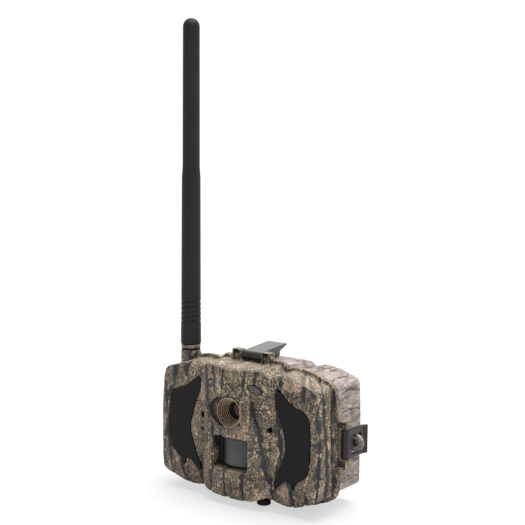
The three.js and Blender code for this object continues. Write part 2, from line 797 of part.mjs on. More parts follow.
function batteryCover() {
  const half = 2 * COLUMN + 2.4;
  const plate = box(-half, half, -9.4, -7.9, CELL.z - 4, CELL.z + CELL.length + 4);
  const grips = [-1, 0, 1].map((i) => box(-6, 6, -9.8, -9.2, 70 + i * 2 - 0.4, 70 + i * 2 + 0.4));
  return join(plate, ...grips);
}

// ---------------------------------------------------------------- underside plug

function jackPlug() {
  const profile = [
    [0, 1.9],
    [4.6, 1.9],
    [5.1, 2.4],
    [5.1, 4],
    [4.7, 4.4],
    [4.7, 5.7],
    [2.6, 5.7],
    [2.6, 15],
    [0, 15],
  ];
  return turnedZ(profile, JACK.x, JACK.y, 16);
}

function powerJack() {
  const block = box(JACK.x - 5, JACK.x + 5, JACK.y - 4.6, JACK.y + 4.6, 12.8, 23);
  return cut(block, rodZ(3, JACK.x, JACK.y, 5, 17, 16));
}

// ---------------------------------------------------------------- materials and the assembly

function plastic(color, roughness = 0.7) {
  return new THREE.MeshStandardMaterial({ color, roughness, metalness: 0 });
}

function metal(color, roughness = 0.35) {
  return new THREE.MeshStandardMaterial({ color, roughness, metalness: 1 });
}

const camo = plastic(0x7a6a56, 0.8);
const camoRear = plastic(0x8d7d74, 0.8);
const black = plastic(0x161517, 0.45);
const gloss = plastic(0x1c1a1c, 0.12);
const grey = plastic(0x3a3a3b, 0.55);
const rubber = plastic(0x202021, 0.85);
const board = plastic(0x1f5a34, 0.5);
const steel = metal(0xb9bcc0);
const copperNickel = metal(0xb79a90, 0.3);
const brass = metal(0xc9a24a, 0.35);

const group = new THREE.Group();

function addPiece(name, shape, material) {
  const { vertProperties, triVerts } = shape.getMesh();
  const geometry = new THREE.BufferGeometry();
  geometry.setAttribute("position", new THREE.BufferAttribute(new Float32Array(vertProperties), 3));
  geometry.setIndex(new THREE.BufferAttribute(new Uint32Array(triVerts), 1));
  const mesh = new THREE.Mesh(geometry, material);
  mesh.name = name;
  group.add(mesh);
}

addPiece("front_shell", frontShell(), camo);
addPiece("ir_window_left", irWindow(-1), gloss);
addPiece("ir_window_right", irWindow(1), gloss);
addPiece("ir_led_board_left", ledBoard(-1), board);
addPiece("ir_led_board_right", ledBoard(1), board);
addPiece("lens_funnel", lensFunnel(), camo);
addPiece("lens_barrel", lensBarrel(), black);
addPiece("lens_glass", lensGlass(), gloss);
addPiece("sensor_board", box(-23, 23, -23.4, -21.8, 26, 82), board);
addPiece("pir_frame", pirFrame(), black);
addPiece("pir_lens", pirLens(), grey);
addPiece("pir_sensor", pirSensor(), steel);
addPiece("light_sensor_window", rodY(2.4, -SENSOR_X, SENSOR_Z, -39.6, -37.4, 16), gloss);
addPiece("indicator_window", prismY(ellipse(SENSOR_X, SENSOR_Z, 5.9, 2.6, -0.25), -39.4, -37.4, 8), gloss);
addPiece("main_board", box(-54, 54, BOARD_Y - 1.6, BOARD_Y, 18, 80), board);
addPiece("inner_panel", innerPanel(), grey);
addPiece("display", box(-SCREEN.half, SCREEN.half, -16.8, PANEL.front - GAP, SCREEN.z0, SCREEN.z1), gloss);
KEYS.forEach(([name, x, z]) => addPiece(name, key(x, z), rubber));
addPiece("power_switch", switchKnob(), black);
addPiece("card_socket", cardSocket(), steel);
addPiece("memory_card", box(34, 62, -16.3, -14.5, CARD.z0 + 0.9, CARD.z1 - 0.9), black);
addPiece("sim_card", box(SIM.x0, SIM.x1, -14.4, -13.4, SIM.z0, SIM.z1), plastic(0xe6e3da));
SCREWS.forEach(([x, z], i) => addPiece("panel_screw_" + (i + 1), screw(x, z), steel));
addPiece("antenna_whip", antennaWhip(), rubber);
addPiece("antenna_collar", antennaCollar(), copperNickel);
addPiece("antenna_seal", antennaSeal(), black);
addPiece("antenna_stud", antennaStud(), brass);
addPiece("top_latch", topLatch(), grey);
addPiece("top_latch_pin", topLatchPin(), steel);
addPiece("side_latch", sideLatch(), grey);
addPiece(
  "side_latch_pin",
  rodZ(1, SIDE_LATCH.x, SIDE_LATCH.y, SIDE_LATCH.z0 - 6, SIDE_LATCH.z1 + 5.4, 12),
  steel,
);
addPiece("jack_plug", jackPlug(), rubber);
addPiece("power_jack", powerJack(), black);
addPiece("rear_shell", rearShell(), camoRear);
addPiece("door_seal", doorSeal(), black);
addPiece("hinge_pin", rodZ(HINGE.pinR, HINGE.x, HINGE.y, 29.6, 76.4, 12), steel);
addPiece("tripod_insert", tripodInsert(), brass);
addPiece("battery_tray", batteryTray(), black);
for (let row = 0; row < 2; row += 1) {
  for (let column = 0; column < 4; column += 1) {
    addPiece("battery_" + (row * 4 + column + 1), cell(column, row), plastic(0x2a3f2c, 0.4));
  }
}
addPiece("contact_plate_top", contactPlate(CELL.z + CELL.length + 0.5, CELL.z + CELL.length + 1.6), steel);
addPiece("contact_plate_bottom", contactPlate(CELL.z - 1.6, CELL.z - 0.5), steel);
addPiece("battery_cover", batteryCover(), black);

export default group;
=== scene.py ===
# Trail camera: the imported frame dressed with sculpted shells, turned pieces and procedural materials.
import json
import math

import bmesh
import bpy
import numpy as np
from mathutils import Matrix, Vector

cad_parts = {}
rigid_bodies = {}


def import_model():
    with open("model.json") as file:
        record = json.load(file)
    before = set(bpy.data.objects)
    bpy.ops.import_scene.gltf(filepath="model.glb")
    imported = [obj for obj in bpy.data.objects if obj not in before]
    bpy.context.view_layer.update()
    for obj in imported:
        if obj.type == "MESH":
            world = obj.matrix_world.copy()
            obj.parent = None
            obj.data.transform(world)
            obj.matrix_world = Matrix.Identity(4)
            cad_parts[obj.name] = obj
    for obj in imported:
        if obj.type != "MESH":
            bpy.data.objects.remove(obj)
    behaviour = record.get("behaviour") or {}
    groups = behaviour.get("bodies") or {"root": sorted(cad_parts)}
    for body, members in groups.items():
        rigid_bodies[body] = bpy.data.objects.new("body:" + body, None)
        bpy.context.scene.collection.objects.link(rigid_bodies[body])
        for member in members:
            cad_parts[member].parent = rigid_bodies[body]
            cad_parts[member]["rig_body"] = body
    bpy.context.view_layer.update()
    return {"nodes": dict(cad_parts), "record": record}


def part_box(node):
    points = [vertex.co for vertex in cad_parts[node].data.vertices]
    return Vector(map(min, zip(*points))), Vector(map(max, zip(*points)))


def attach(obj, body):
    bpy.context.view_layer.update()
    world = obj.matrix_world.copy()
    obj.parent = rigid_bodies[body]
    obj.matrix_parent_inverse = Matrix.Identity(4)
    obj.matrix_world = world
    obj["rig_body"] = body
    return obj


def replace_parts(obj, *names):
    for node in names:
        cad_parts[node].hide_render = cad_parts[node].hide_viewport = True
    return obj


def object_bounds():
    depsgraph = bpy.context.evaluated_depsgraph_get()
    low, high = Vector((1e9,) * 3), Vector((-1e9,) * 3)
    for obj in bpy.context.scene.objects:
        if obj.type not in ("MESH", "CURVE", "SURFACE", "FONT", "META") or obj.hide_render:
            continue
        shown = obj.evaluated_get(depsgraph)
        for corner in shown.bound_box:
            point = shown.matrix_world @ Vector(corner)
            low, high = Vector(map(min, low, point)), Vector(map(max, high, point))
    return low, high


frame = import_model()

MM = 0.001  # the frame is in metres; sizes below are in millimetres
NODES = frame["nodes"]


def span(node):
    """Low and high corner of a CAD node's box, in millimetres."""
    return tuple(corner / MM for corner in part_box(node))


def placed(name, data):
    """A new object of the scene that holds the data."""
    thing = bpy.data.objects.new(name, data)
    bpy.context.scene.collection.objects.link(thing)
    return thing


# ---------------- camera, floor and light

CAMERA = {"at": (0.4874, -0.6512, 0.2687), "azimuth": 37.0, "down": 6.74, "roll": 0.49, "lens": 77.03}


def make_camera():
    data = bpy.data.cameras.new("camera")
    data.lens = CAMERA["lens"]
    data.sensor_width = 36
    data.clip_start = 0.01
    camera = placed("camera", data)
    camera.matrix_world = Matrix.Translation(CAMERA["at"])
    for degrees, axis in ((CAMERA["azimuth"], "Z"), (90 - CAMERA["down"], "X"), (CAMERA["roll"], "Z")):
        camera.matrix_world @= Matrix.Rotation(math.radians(degrees), 4, axis)
    bpy.context.scene.camera = camera


def soft_sun(name, towards, strength, spread, colour=(1, 1, 1)):
    """A broad lamp that lights floor and object alike, shining along towards."""
    data = bpy.data.lights.new(name, "SUN")
    data.energy = strength
    data.angle = math.radians(spread)
    data.color = colour
    lamp = placed(name, data)
    lamp.rotation_mode = "QUATERNION"
    lamp.rotation_quaternion = Vector(towards).to_track_quat("-Z", "Y")


WORLD_SEEN = 1.1  # brightness of the backdrop as the camera sees it
WORLD_FRONT = 0.2  # light from the camera's side
WORLD_BACK = 1.3  # light from behind the object


def plug(tree, socket, value):
    """Links another node's output to a socket, or sets the socket's own value."""
    if hasattr(value, "node"):
        tree.links.new(value, socket)
    else:
        socket.default_value = value


def add_node(tree, kind, **sockets):
    """A shader node with its named sockets set or linked; _ stands for a space in a name."""
    node = tree.nodes.new("ShaderNode" + kind)
    for name, value in sockets.items():
        plug(tree, node.inputs[name.replace("_", " ")], value)
    return node


def seen_as(tree, plain, seen, share):
    """Mixes into a plain shader what only the camera sees, by the share given."""
    mix = add_node(tree, "MixShader", Fac=share)
    plug(tree, mix.inputs[1], plain.outputs[0])
    plug(tree, mix.inputs[2], seen.outputs[0])
    return mix.outputs[0]


def make_world():
    """White to the eye; as light it is brightest behind the object, as in front of a white sweep."""
    world = bpy.data.worlds.new("studio")
    bpy.context.scene.world = world
    world.use_nodes = True
    tree = world.node_tree
    tree.nodes.clear()
    along = add_node(tree, "VectorMath")
    along.operation = "DOT_PRODUCT"
    plug(tree, along.inputs[0], add_node(tree, "TexCoord").outputs["Generated"])
    plug(tree, along.inputs[1], (-0.45, 0.85, 0.25))
    ramp = add_node(tree, "MapRange", Value=along.outputs["Value"], From_Min=-0.2, From_Max=0.85)
    plug(tree, ramp.inputs["To Min"], WORLD_FRONT)
    plug(tree, ramp.inputs["To Max"], WORLD_BACK)
    light = add_node(tree, "Background", Color=(1, 0.99, 0.975, 1), Strength=ramp.outputs["Result"])
    seen = add_node(tree, "Background", Color=(1, 1, 1, 1), Strength=WORLD_SEEN)
    camera_ray = add_node(tree, "LightPath").outputs["Is Camera Ray"]
    add_node(tree, "OutputWorld", Surface=seen_as(tree, light, seen, camera_ray))


FLOOR_GLOW = 0.6  # how far the seen floor is lit from within, which pales the shadow
FLOOR_HALF = 6  # metres from the middle of the floor to its edge


def make_floor():
    mesh = bpy.data.meshes.new("floor")
    corners = [(x * FLOOR_HALF, y * FLOOR_HALF, 0) for x, y in ((-1, -1), (1, -1), (1, 1), (-1, 1))]
    mesh.from_pydata(corners, [], [(0, 1, 2, 3)])
    floor = placed("floor", mesh)
    floor.location.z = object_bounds()[0].z
    paint = Paint("floor_paint", (0.56, 0.56, 0.56), 0.9)
    share = paint.times(paint.add("LightPath").outputs["Is Camera Ray"], FLOOR_GLOW)
    mixed = seen_as(paint.tree, paint.shader, paint.add("Emission"), share)
    plug(paint.tree, paint.tree.nodes["Material Output"].inputs["Surface"], mixed)
    mesh.materials.append(paint.material)


def make_studio():
    make_camera()
    make_world()
    make_floor()
    soft_sun("top", (-0.1, -0.12, -1), 4.6, 50)
    soft_sun("right", (-1, 0.15, -0.6), 0.75, 40, (1, 0.99, 0.97))
    soft_sun("front", (-0.5, 1, -0.8), 0.65, 35, (1, 0.985, 0.96))
    bpy.context.scene.view_settings.view_transform = "Standard"


# ---------------- noise in numpy, seeded


SEAM_Y = -10  # where the door meets the rear case
CREASE_MM = 0.07  # bend between neighbouring vertices that counts as a full crease


def hashed(ix, iy, iz, seed):
    """A steady pseudo-random number from 0 to 1 for each whole-number lattice point."""
    mixed = ix.astype(np.int64) * 374761393 + iy.astype(np.int64) * 668265263
    mixed = (mixed + iz.astype(np.int64) * 1440662683 + seed * 1013904223) & 0xFFFFFFFF
    mixed = ((mixed ^ (mixed >> 13)) * 1274126177) & 0xFFFFFFFF
    return ((mixed ^ (mixed >> 16)) & 0xFFFF) / 65535.0


def value_noise(x, y, z, seed):
    """Smooth noise from -1 to 1, one lattice cell a unit."""
    base = [np.floor(a) for a in (x, y, z)]
    part = [a - b for a, b in zip((x, y, z), base)]
    ease = [f * f * (3 - 2 * f) for f in part]
    total = np.zeros_like(x)
    for dx in (0, 1):
        for dy in (0, 1):
            for dz in (0, 1):
                weight = ease[0] if dx else 1 - ease[0]
                weight = weight * (ease[1] if dy else 1 - ease[1])
                weight = weight * (ease[2] if dz else 1 - ease[2])
                total += weight * hashed(base[0] + dx, base[1] + dy, base[2] + dz, seed)
    return total * 2 - 1


def skin_noise(u, v, wide, tall, seed):
    """The same noise on a skin, with cells of the given size in mm."""
    return value_noise(u / wide, v / tall, np.zeros_like(u), seed)


def step_down(value, full, none):
    """1 below full, 0 above none, smooth between."""
    t = np.clip((none - value) / (none - full), 0, 1)
    return t * t * (3 - 2 * t)


def furrow_wave(u, v, period, wander, seed):
    """Sine and cosine of a wandering coordinate; furrows lie where the sine is 0 and the cosine high."""
    shift = wander * skin_noise(u, v, 1.3 * period, 2.6 * period, seed)
    shift += 0.36 * wander * skin_noise(u, v, 0.42 * period, 0.9 * period, seed + 1)
    phase = 2 * math.pi * (u + shift) / period
    return np.sin(phase), np.cos(phase)


def near_line(u, v, points):
    """Distance of each (u, v) from a line through the points, and how far along it is, 0 to 1."""
    best = np.full(u.shape, 1e9)
    along = np.zeros_like(u)
    count = len(points) - 1
    for i, ((a, b), (c, d)) in enumerate(zip(points, points[1:])):
        length2 = (c - a) ** 2 + (d - b) ** 2
        t = np.clip(((u - a) * (c - a) + (v - b) * (d - b)) / length2, 0, 1)
        distance = np.hypot(u - a - t * (c - a), v - b - t * (d - b))
        closer = distance < best
        best = np.where(closer, distance, best)
        along = np.where(closer, (i + t) / count, along)
    return best, along


# ---------------- mesh helpers


def new_piece(name, mesh, body):
    piece = placed(name, mesh)
    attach(piece, body)
    return piece


def body_of(node):
    return NODES[node]["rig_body"]


def slot_of(node):
    for entry in frame["record"]["subparts"]:
        if entry["node"] == node:
            return entry["material_slot"]
    return None


def shade_smooth(mesh):
    mesh.polygons.foreach_set("use_smooth", [True] * len(mesh.polygons))


def vertex_array(mesh):
    points = np.zeros(len(mesh.vertices) * 3)
    mesh.vertices.foreach_get("co", points)
    return points.reshape(-1, 3)


def normal_array(mesh):
    normals = np.zeros(len(mesh.vertices) * 3)
    mesh.vertex_normals.foreach_get("vector", normals)
    return normals.reshape(-1, 3)


def crease_and_edge(mesh, points, normals, spread=2):
    """How deep in a crease and how proud on an edge each vertex sits, both 0 to 1."""
    pairs = np.zeros(len(mesh.edges) * 2, dtype=np.int32)
    mesh.edges.foreach_get("vertices", pairs)
    first, second = pairs.reshape(-1, 2).T
    count = np.bincount(first, minlength=len(points)) + np.bincount(second, minlength=len(points))

    def around(values):
        total = np.bincount(first, values[second], len(points))
        total += np.bincount(second, values[first], len(points))
        return total / np.maximum(count, 1)

    bend = sum((around(points[:, k]) - points[:, k]) * normals[:, k] for k in range(3))
    for _ in range(spread):
        bend = 0.5 * bend + 0.5 * around(bend)
    return np.clip(bend / CREASE_MM, 0, 1), np.clip(-bend / CREASE_MM, 0, 1)


def modified_mesh(work):
    """The mesh that a work object's modifiers make of it; the object goes."""
    graph = bpy.context.evaluated_depsgraph_get()
    mesh = bpy.data.meshes.new_from_object(work.evaluated_get(graph))
    bpy.data.objects.remove(work)
    shade_smooth(mesh)
    return mesh


def remeshed(node, voxel, smooth):
    """A finely meshed, softened copy of a CAD node's shape, as a mesh."""
    work = placed(node + "_work", NODES[node].data.copy())
    work.data.materials.clear()
    weld = work.modifiers.new("weld", "WELD")
    weld.merge_threshold = 1e-6
    remesh = work.modifiers.new("remesh", "REMESH")
    remesh.mode = "VOXEL"
    remesh.voxel_size = voxel * MM * 1
    soften = work.modifiers.new("soften", "SMOOTH")
    soften.factor = 0.5
    soften.iterations = smooth
    return modified_mesh(work)


def thinned(mesh, inside, keep=0.2):
    """The same mesh with fewer faces where inside is true."""
    work = placed("thin_work", mesh)
    work.vertex_groups.new(name="inside").add(np.flatnonzero(inside).tolist(), 1.0, "REPLACE")
    thin = work.modifiers.new("thin", "DECIMATE")
    thin.vertex_group = "inside"
    thin.ratio = 1 - (1 - keep) * inside.mean()
    return modified_mesh(work)


def sculpted(name, node, voxel, smooth, material, hidden=None):
    """A moulded stand-in for a CAD node: same shape with its edges rounded as a mould leaves them."""
    mesh = remeshed(node, voxel, smooth)
    if hidden:
        mesh = thinned(mesh, hidden(vertex_array(mesh) / MM, normal_array(mesh)))
    mesh.materials.append(material)
    piece = new_piece(name, mesh, body_of(node))
    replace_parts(piece, node)
    return piece


def turned_mesh(name, profile, centre, axis, sides):
    """A closed turned solid. profile is (radius, height) from axis to axis, or a closed ring."""
    mesh = bpy.data.meshes.new(name)
    build = bmesh.new()
    closed = profile[0] == profile[-1]
    points = profile[:-1] if closed else profile
    rings = []
    for radius, height in points:
        ring = []
        for k in range(sides if radius > 1e-6 else 1):
            angle = 2 * math.pi * k / sides
            ring.append(build.verts.new((radius * math.cos(angle), radius * math.sin(angle), height)))
        rings.append(ring)
    if closed:
        rings.append(rings[0])
    for lower, upper in zip(rings, rings[1:]):
        for k in range(sides):
            places = ((lower, k), (lower, k + 1), (upper, k + 1), (upper, k))
            corners = list(dict.fromkeys(ring[place % len(ring)] for ring, place in places))
            if len(corners) > 2:
                build.faces.new(corners)
    bmesh.ops.recalc_face_normals(build, faces=build.faces)
    build.to_mesh(mesh)
    build.free()
    turn = {"Z": Matrix.Identity(4), "-Y": Matrix.Rotation(math.pi / 2, 4, "X")}[axis]
    mesh.transform(Matrix.Scale(MM, 4) @ Matrix.Translation(centre) @ turn)
    shade_smooth(mesh)
    return mesh


def flat_edges(mesh, degrees):
    """Keeps creases sharper than the given angle while the rest shades smooth."""
    build = bmesh.new()
    build.from_mesh(mesh)
    for edge in build.edges:
        edge.smooth = edge.calc_face_angle(0) < math.radians(degrees)
    build.to_mesh(mesh)
    build.free()


def turned_piece(name, node, profile, centre, axis, sides, materials, second=None, sharp=None):
    """A turned stand-in for a CAD node. second says which faces take the second material."""
    mesh = turned_mesh(name, profile, centre, axis, sides)
    for material in materials:
        mesh.materials.append(material)
    if second:
        for face in mesh.polygons:
            face.material_index = int(second(face))
    if sharp:
        flat_edges(mesh, sharp)
    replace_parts(new_piece(name, mesh, body_of(node)), node)


def bevelled(node, width, material):
    """Keeps a CAD node as it is, with its edges rounded by a modifier and its own material."""
    piece = NODES[node]
    modifier = piece.modifiers.new("edge_round", "BEVEL")
    modifier.width = width * MM
    modifier.segments = 2
    modifier.limit_method = "ANGLE"
    modifier.angle_limit = math.radians(40)
    modifier.harden_normals = True
    piece.data.materials.clear()
    piece.data.materials.append(material)
    shade_smooth(piece.data)


# ---------------- material helpers


class Paint:
    """A node material built a line at a time around one Principled shader."""

    def __init__(self, name, colour=(0.5, 0.5, 0.5), roughness=0.5, metallic=0.0, **sockets):
        self.material = bpy.data.materials.new(name)
        self.material.use_nodes = True
        self.tree = self.material.node_tree
        self.shader = self.tree.nodes["Principled BSDF"]
        self.set("Base Color", (*colour, 1))
        self.set("Roughness", roughness)
        self.set("Metallic", metallic)
        for socket, value in sockets.items():
            self.set(socket.replace("_", " "), value)
        self.coordinates = self.add("TexCoord").outputs["Object"]

    def set(self, socket, value):
        plug(self.tree, self.shader.inputs[socket], value)

    def add(self, kind, **sockets):
        return add_node(self.tree, kind, **sockets)

    def millimetres(self, stretch):
        scale = [1000 * s for s in stretch]
        return self.add("Mapping", Vector=self.coordinates, Scale=scale).outputs["Vector"]

    def noise(self, per_mm, detail=2.0, rough=0.5, stretch=(1, 1, 1), distortion=0.0):
        node = self.add("TexNoise", Vector=self.millimetres(stretch), Scale=per_mm, Detail=detail)
        self.put(node, "Roughness", rough)
        self.put(node, "Distortion", distortion)
        return node.outputs["Fac"]

    def put(self, node, socket, value):
        plug(self.tree, node.inputs[socket], value)

    def cells(self, per_mm, stretch=(1, 1, 1), warp=0.0):
        """Distance to the edge of random cells, whose places are warped by noise."""
        place = self.millimetres(stretch)
        if warp:
            noise = self.add("TexNoise", Vector=place, Scale=per_mm * 1.3)
            push = self.add("VectorMath")
            push.operation = "MULTIPLY_ADD"
            self.put(push, 0, noise.outputs["Color"])
            self.put(push, 1, [2 * warp / per_mm] * 3)
            self.put(push, 2, place)
            place = push.outputs["Vector"]
        node = self.add("TexVoronoi", Vector=place, Scale=per_mm)
        node.feature = "DISTANCE_TO_EDGE"
        return node.outputs["Distance"]

    def attribute(self, name):
        node = self.add("Attribute")
        node.attribute_name = name
        split = self.add("SeparateXYZ", Vector=node.outputs["Vector"])
        return [split.outputs[k] for k in "XYZ"]

    def ramp(self, value, stops):
        node = self.add("ValToRGB", Fac=value)
        elements = node.color_ramp.elements
        while len(elements) < len(stops):
            elements.new(0.5)
        for element, (place, colour) in zip(elements, stops):
            element.position = place
            element.color = (*colour, 1) if isinstance(colour, tuple) else (colour, colour, colour, 1)
        return node.outputs["Color"]

    def rise(self, value, low, high):
        """0 below low, 1 above high."""
        return self.ramp(value, [(low, 0.0), (high, 1.0)])

    def fall(self, value, low, high):
        """1 below low, 0 above high."""
        return self.ramp(value, [(low, 1.0), (high, 0.0)])

    def mix(self, factor, a, b, mode="MIX"):
        node = self.add("Mix")
        node.data_type = "RGBA"
        node.blend_type = mode
        inputs = [s for s in node.inputs if s.enabled]
        for socket, value in zip(inputs, (factor, a, b)):
            plug(self.tree, socket, (*value, 1) if isinstance(value, tuple) else value)
        return next(s for s in node.outputs if s.enabled)

    def maths(self, operation, a, b=0.0):
        node = self.add("Math")
        node.operation = operation
        self.put(node, 0, a)
        self.put(node, 1, b)
        return node.outputs["Value"]

    def times(self, a, b):
        return self.maths("MULTIPLY", a, b)

    def plus(self, a, b):
        return self.maths("ADD", a, b)

    def minus(self, a, b):
        return self.maths("SUBTRACT", a, b)

    def larger(self, a, b):
        return self.maths("MAXIMUM", a, b)

    def lay(self, under, over, mask, strength):
        """Lays one colour over another where the mask says, as strongly as given."""
        return self.mix(self.times(mask, strength), under, over)

    def bump(self, height, strength, distance_mm):
        node = self.add("Bump", Height=height, Strength=strength, Distance=distance_mm * MM)
        self.set("Normal", node.outputs["Normal"])


def bark_patches(paint, look, mottle, fleck):
    """The print's soft patches, with olive, peach and green areas."""
    patch = paint.attribute("bark_fine")[2]
    peach_here, green_here, _ = paint.attribute("bark_tint")
    value = paint.plus(paint.times(mottle, 0.75), paint.times(fleck, 0.43))
    value = paint.plus(value, paint.times(patch, 0.05))
    colour = paint.ramp(value, look["shades"])
    olive = paint.mix(0.8, colour, look["olive"], "MULTIPLY")
    colour = paint.mix(paint.rise(paint.noise(0.05, 2.0), 0.46, 0.58), colour, olive)
    peach = paint.mix(0.8, colour, look["peach"], "MULTIPLY")
    colour = paint.mix(paint.rise(paint.noise(0.13, 3.0, 0.6), 0.51, 0.62), colour, peach)
    smooth = paint.mix(paint.rise(mottle, 0.4, 0.6), SMOOTH_PEACH_DIM, SMOOTH_PEACH_LIT)
    colour = paint.lay(colour, smooth, peach_here, 0.7)
    green = paint.mix(1.0, colour, GREEN_CAST, "MULTIPLY")
    return paint.lay(colour, green, green_here, 0.8)


def bark_veins(paint, look):
    """Dark borders of the larger flakes and the small chips, 0 to 1."""
    broken = paint.rise(paint.noise(0.24, 2.0), 0.42, 0.56)
    flakes = paint.fall(paint.cells(0.16, look["stretch"], warp=0.75), 0.015, 0.07)
    chips = paint.fall(paint.cells(0.46, look["stretch"], warp=0.6), 0.04, 0.17)
    return paint.larger(paint.times(flakes, broken), paint.times(chips, look["chips"]))


def bark_specks(paint, look, colour):
    """Dark pits and pale glints, gathered in busy areas."""
    speck = paint.noise(0.8, 1.0, 0.6)
    busy = paint.ramp(paint.noise(0.16, 3.0, 0.6, distortion=0.5), [(0.40, 0.15), (0.58, 1.0)])
    pits = paint.times(paint.fall(speck, 0.38, 0.45), busy)
    colour = paint.lay(colour, look["dark"], pits, look["pit"])
    glints = paint.times(paint.rise(speck, 0.56, 0.63), busy)
    return paint.lay(colour, look["shades"][-1][1], glints, look["glint"])


def bark_furrows(paint, look, colour, mottle, fleck):
    """Ragged furrows with a darker core and a pale crest, fine threads, and black splits that also carry
    painted shade at the foot of the door's rim.
    """
    furrow = look["furrow"]
    sine, cosine, strength = paint.attribute("bark")
    hair, split, _ = paint.attribute("bark_fine")
    main = paint.attribute("bark_main")[0]
    ragged = paint.times(paint.minus(mottle, 0.5), 1.6)
    ragged = paint.plus(ragged, paint.times(paint.minus(fleck, 0.5), 0.9))
    reach = paint.plus(paint.maths("ABSOLUTE", sine), ragged)
    near = paint.times(paint.rise(cosine, 0.0, 0.25), strength)
    band = paint.times(paint.fall(reach, 0.42, 0.8), near)
    core = paint.times(paint.fall(reach, 0.14, 0.32), near)
    deep = paint.minus(main, paint.times(ragged, 1.15))
    crest = paint.ramp(deep, [(0.02, 0.0), (0.16, 1.0), (0.34, 0.0)])
    band = paint.larger(band, paint.rise(deep, 0.34, 0.52))
    core = paint.larger(core, paint.rise(deep, 0.72, 0.88))
    colour = paint.lay(colour, look["shades"][-1][1], crest, look["crest"])
    thread = paint.ramp(paint.plus(hair, paint.times(ragged, 0.7)), [(0.08, 0.8), (0.32, 0.0)])
    colour = paint.lay(colour, look["dark"], thread, look["vein"])
    dim = tuple(c * 0.45 for c in furrow)
    banded = paint.mix(paint.rise(fleck, 0.38, 0.62), dim, furrow)
    colour = paint.lay(colour, banded, band, 0.88)
    colour = paint.lay(colour, tuple(c * 0.22 for c in furrow), core, 0.9)
    # black of the splits, which also paints shade at the foot of the door's rim
    return paint.lay(colour, SPLIT_AND_SHADE_BLACK, split, 0.95)


def bark_wear(paint, look, colour, mottle):
    """Painted shade in hollows and creases, painted light on tops and along the tongue, paler front edges,
    darker rear edges, and black where unprinted or painted as shade.
    """
    _, bare_and_shade, sunken = paint.attribute("bark_main")
    lightened = paint.attribute("bark_tint")[2]
    crease, darkened_edge, _ = paint.attribute("bark_wear")
    shaded = paint.mix(1.0, colour, look["sunken"], "MULTIPLY")
    # painted shade in the door's recesses, and the painted shadow behind the latch
    colour = paint.lay(colour, shaded, sunken, 0.85)
    patchy = paint.ramp(mottle, [(0.42, 1.0), (0.6, 0.35)])
    # painted light on top faces and along the tongue's rim; the front's convex edges are also paler
    colour = paint.lay(colour, look["shades"][-1][1], lightened, paint.times(patchy, 0.6))
    # the rear case's convex edges darkened
    colour = paint.lay(colour, look["dark"], darkened_edge, paint.times(patchy, 0.85))
    # painted shade in the creases
    colour = paint.lay(colour, look["crease"], crease, paint.times(patchy, 0.9))
    # black where unprinted, and as painted shade in holes, pockets and at recess edges
    return paint.mix(bare_and_shade, colour, BARE_AND_SHADE_BLACK)


def camo_material(name, look):
    """Printed bark: soft patches, flake edges, flecks and long ragged furrows."""
    roughness = look["roughness"]
    paint = Paint(name, roughness=roughness, Specular_IOR_Level=0.4)
    mottle = paint.noise(0.25, 4.0, 0.66, stretch=look["stretch"], distortion=0.6)
    fleck = paint.noise(0.62, 2.0, 0.6, stretch=look["stretch"])
    veins = bark_veins(paint, look)
    colour = bark_patches(paint, look, mottle, fleck)
    colour = paint.lay(colour, look["dark"], veins, look["vein"])
    colour = bark_specks(paint, look, colour)
    colour = bark_furrows(paint, look, colour, mottle, fleck)
    paint.set("Base Color", bark_wear(paint, look, colour, mottle))
    paint.set("Roughness", paint.ramp(fleck, [(0.3, roughness - 0.1), (0.7, roughness + 0.14)]))
    relief = paint.plus(paint.times(mottle, 0.9), paint.times(fleck, 0.45))
    paint.bump(paint.minus(relief, paint.times(veins, 0.3)), 0.9, 0.5)
    return paint.material


def moulded_plastic(name, colour, roughness, scuff, grain_per_mm, specular):
    """Moulded plastic: spark-eroded grain, faint shade drift and lighter scuffs."""
    paint = Paint(name, roughness=roughness, Specular_IOR_Level=specular)
    drift = paint.noise(0.05, 2.0)
    grain = paint.noise(grain_per_mm, 3.0, 0.6)
    scratch = paint.rise(paint.noise(0.35, 6.0, 0.75, (1, 1, 0.25)), 0.60, 0.78)
    dim = tuple(c * 0.82 for c in colour)
    lit = tuple(min(c * 1.2, 1) for c in colour)
    base = paint.ramp(drift, [(0.3, dim), (0.7, lit)])
    lightened = tuple(min(c * 1.6 + scuff, 1) for c in colour)
    paint.set("Base Color", paint.lay(base, lightened, scratch, 0.35))
    paint.set("Roughness", paint.ramp(grain, [(0.3, max(roughness - 0.07, 0.02)), (0.7, roughness + 0.08)]))
    paint.bump(grain, 0.25, 0.05)
    return paint.material


def metal_material(name, colour, roughness):
    """Turned or drawn metal with fine lines and a little tarnish."""
    paint = Paint(name, roughness=roughness, metallic=1.0)
    lines = paint.noise(1.2, 3.0, 0.6, (1, 1, 6))
    stain = paint.noise(0.25, 4.0, 0.6)
    dull = tuple(c * 0.6 for c in colour)
    paint.set("Base Color", paint.ramp(stain, [(0.3, dull), (0.62, colour)]))
    paint.set("Roughness", paint.ramp(lines, [(0.3, roughness - 0.08), (0.7, roughness + 0.14)]))
    paint.bump(lines, 0.2, 0.03)
    return paint.material


def board_material():
    """Green solder mask with paler tracks."""
    paint = Paint("circuit_board", roughness=0.32)
    tracks = paint.fall(paint.cells(0.3), 0.02, 0.05)
    mottled = paint.ramp(paint.noise(0.2, 2.0), [(0.35, (0.008, 0.075, 0.03)), (0.65, (0.012, 0.12, 0.05))])
    paint.set("Base Color", paint.lay(mottled, (0.05, 0.26, 0.10), tracks, 0.6))
    paint.bump(tracks, 0.3, 0.05)
    return paint.material


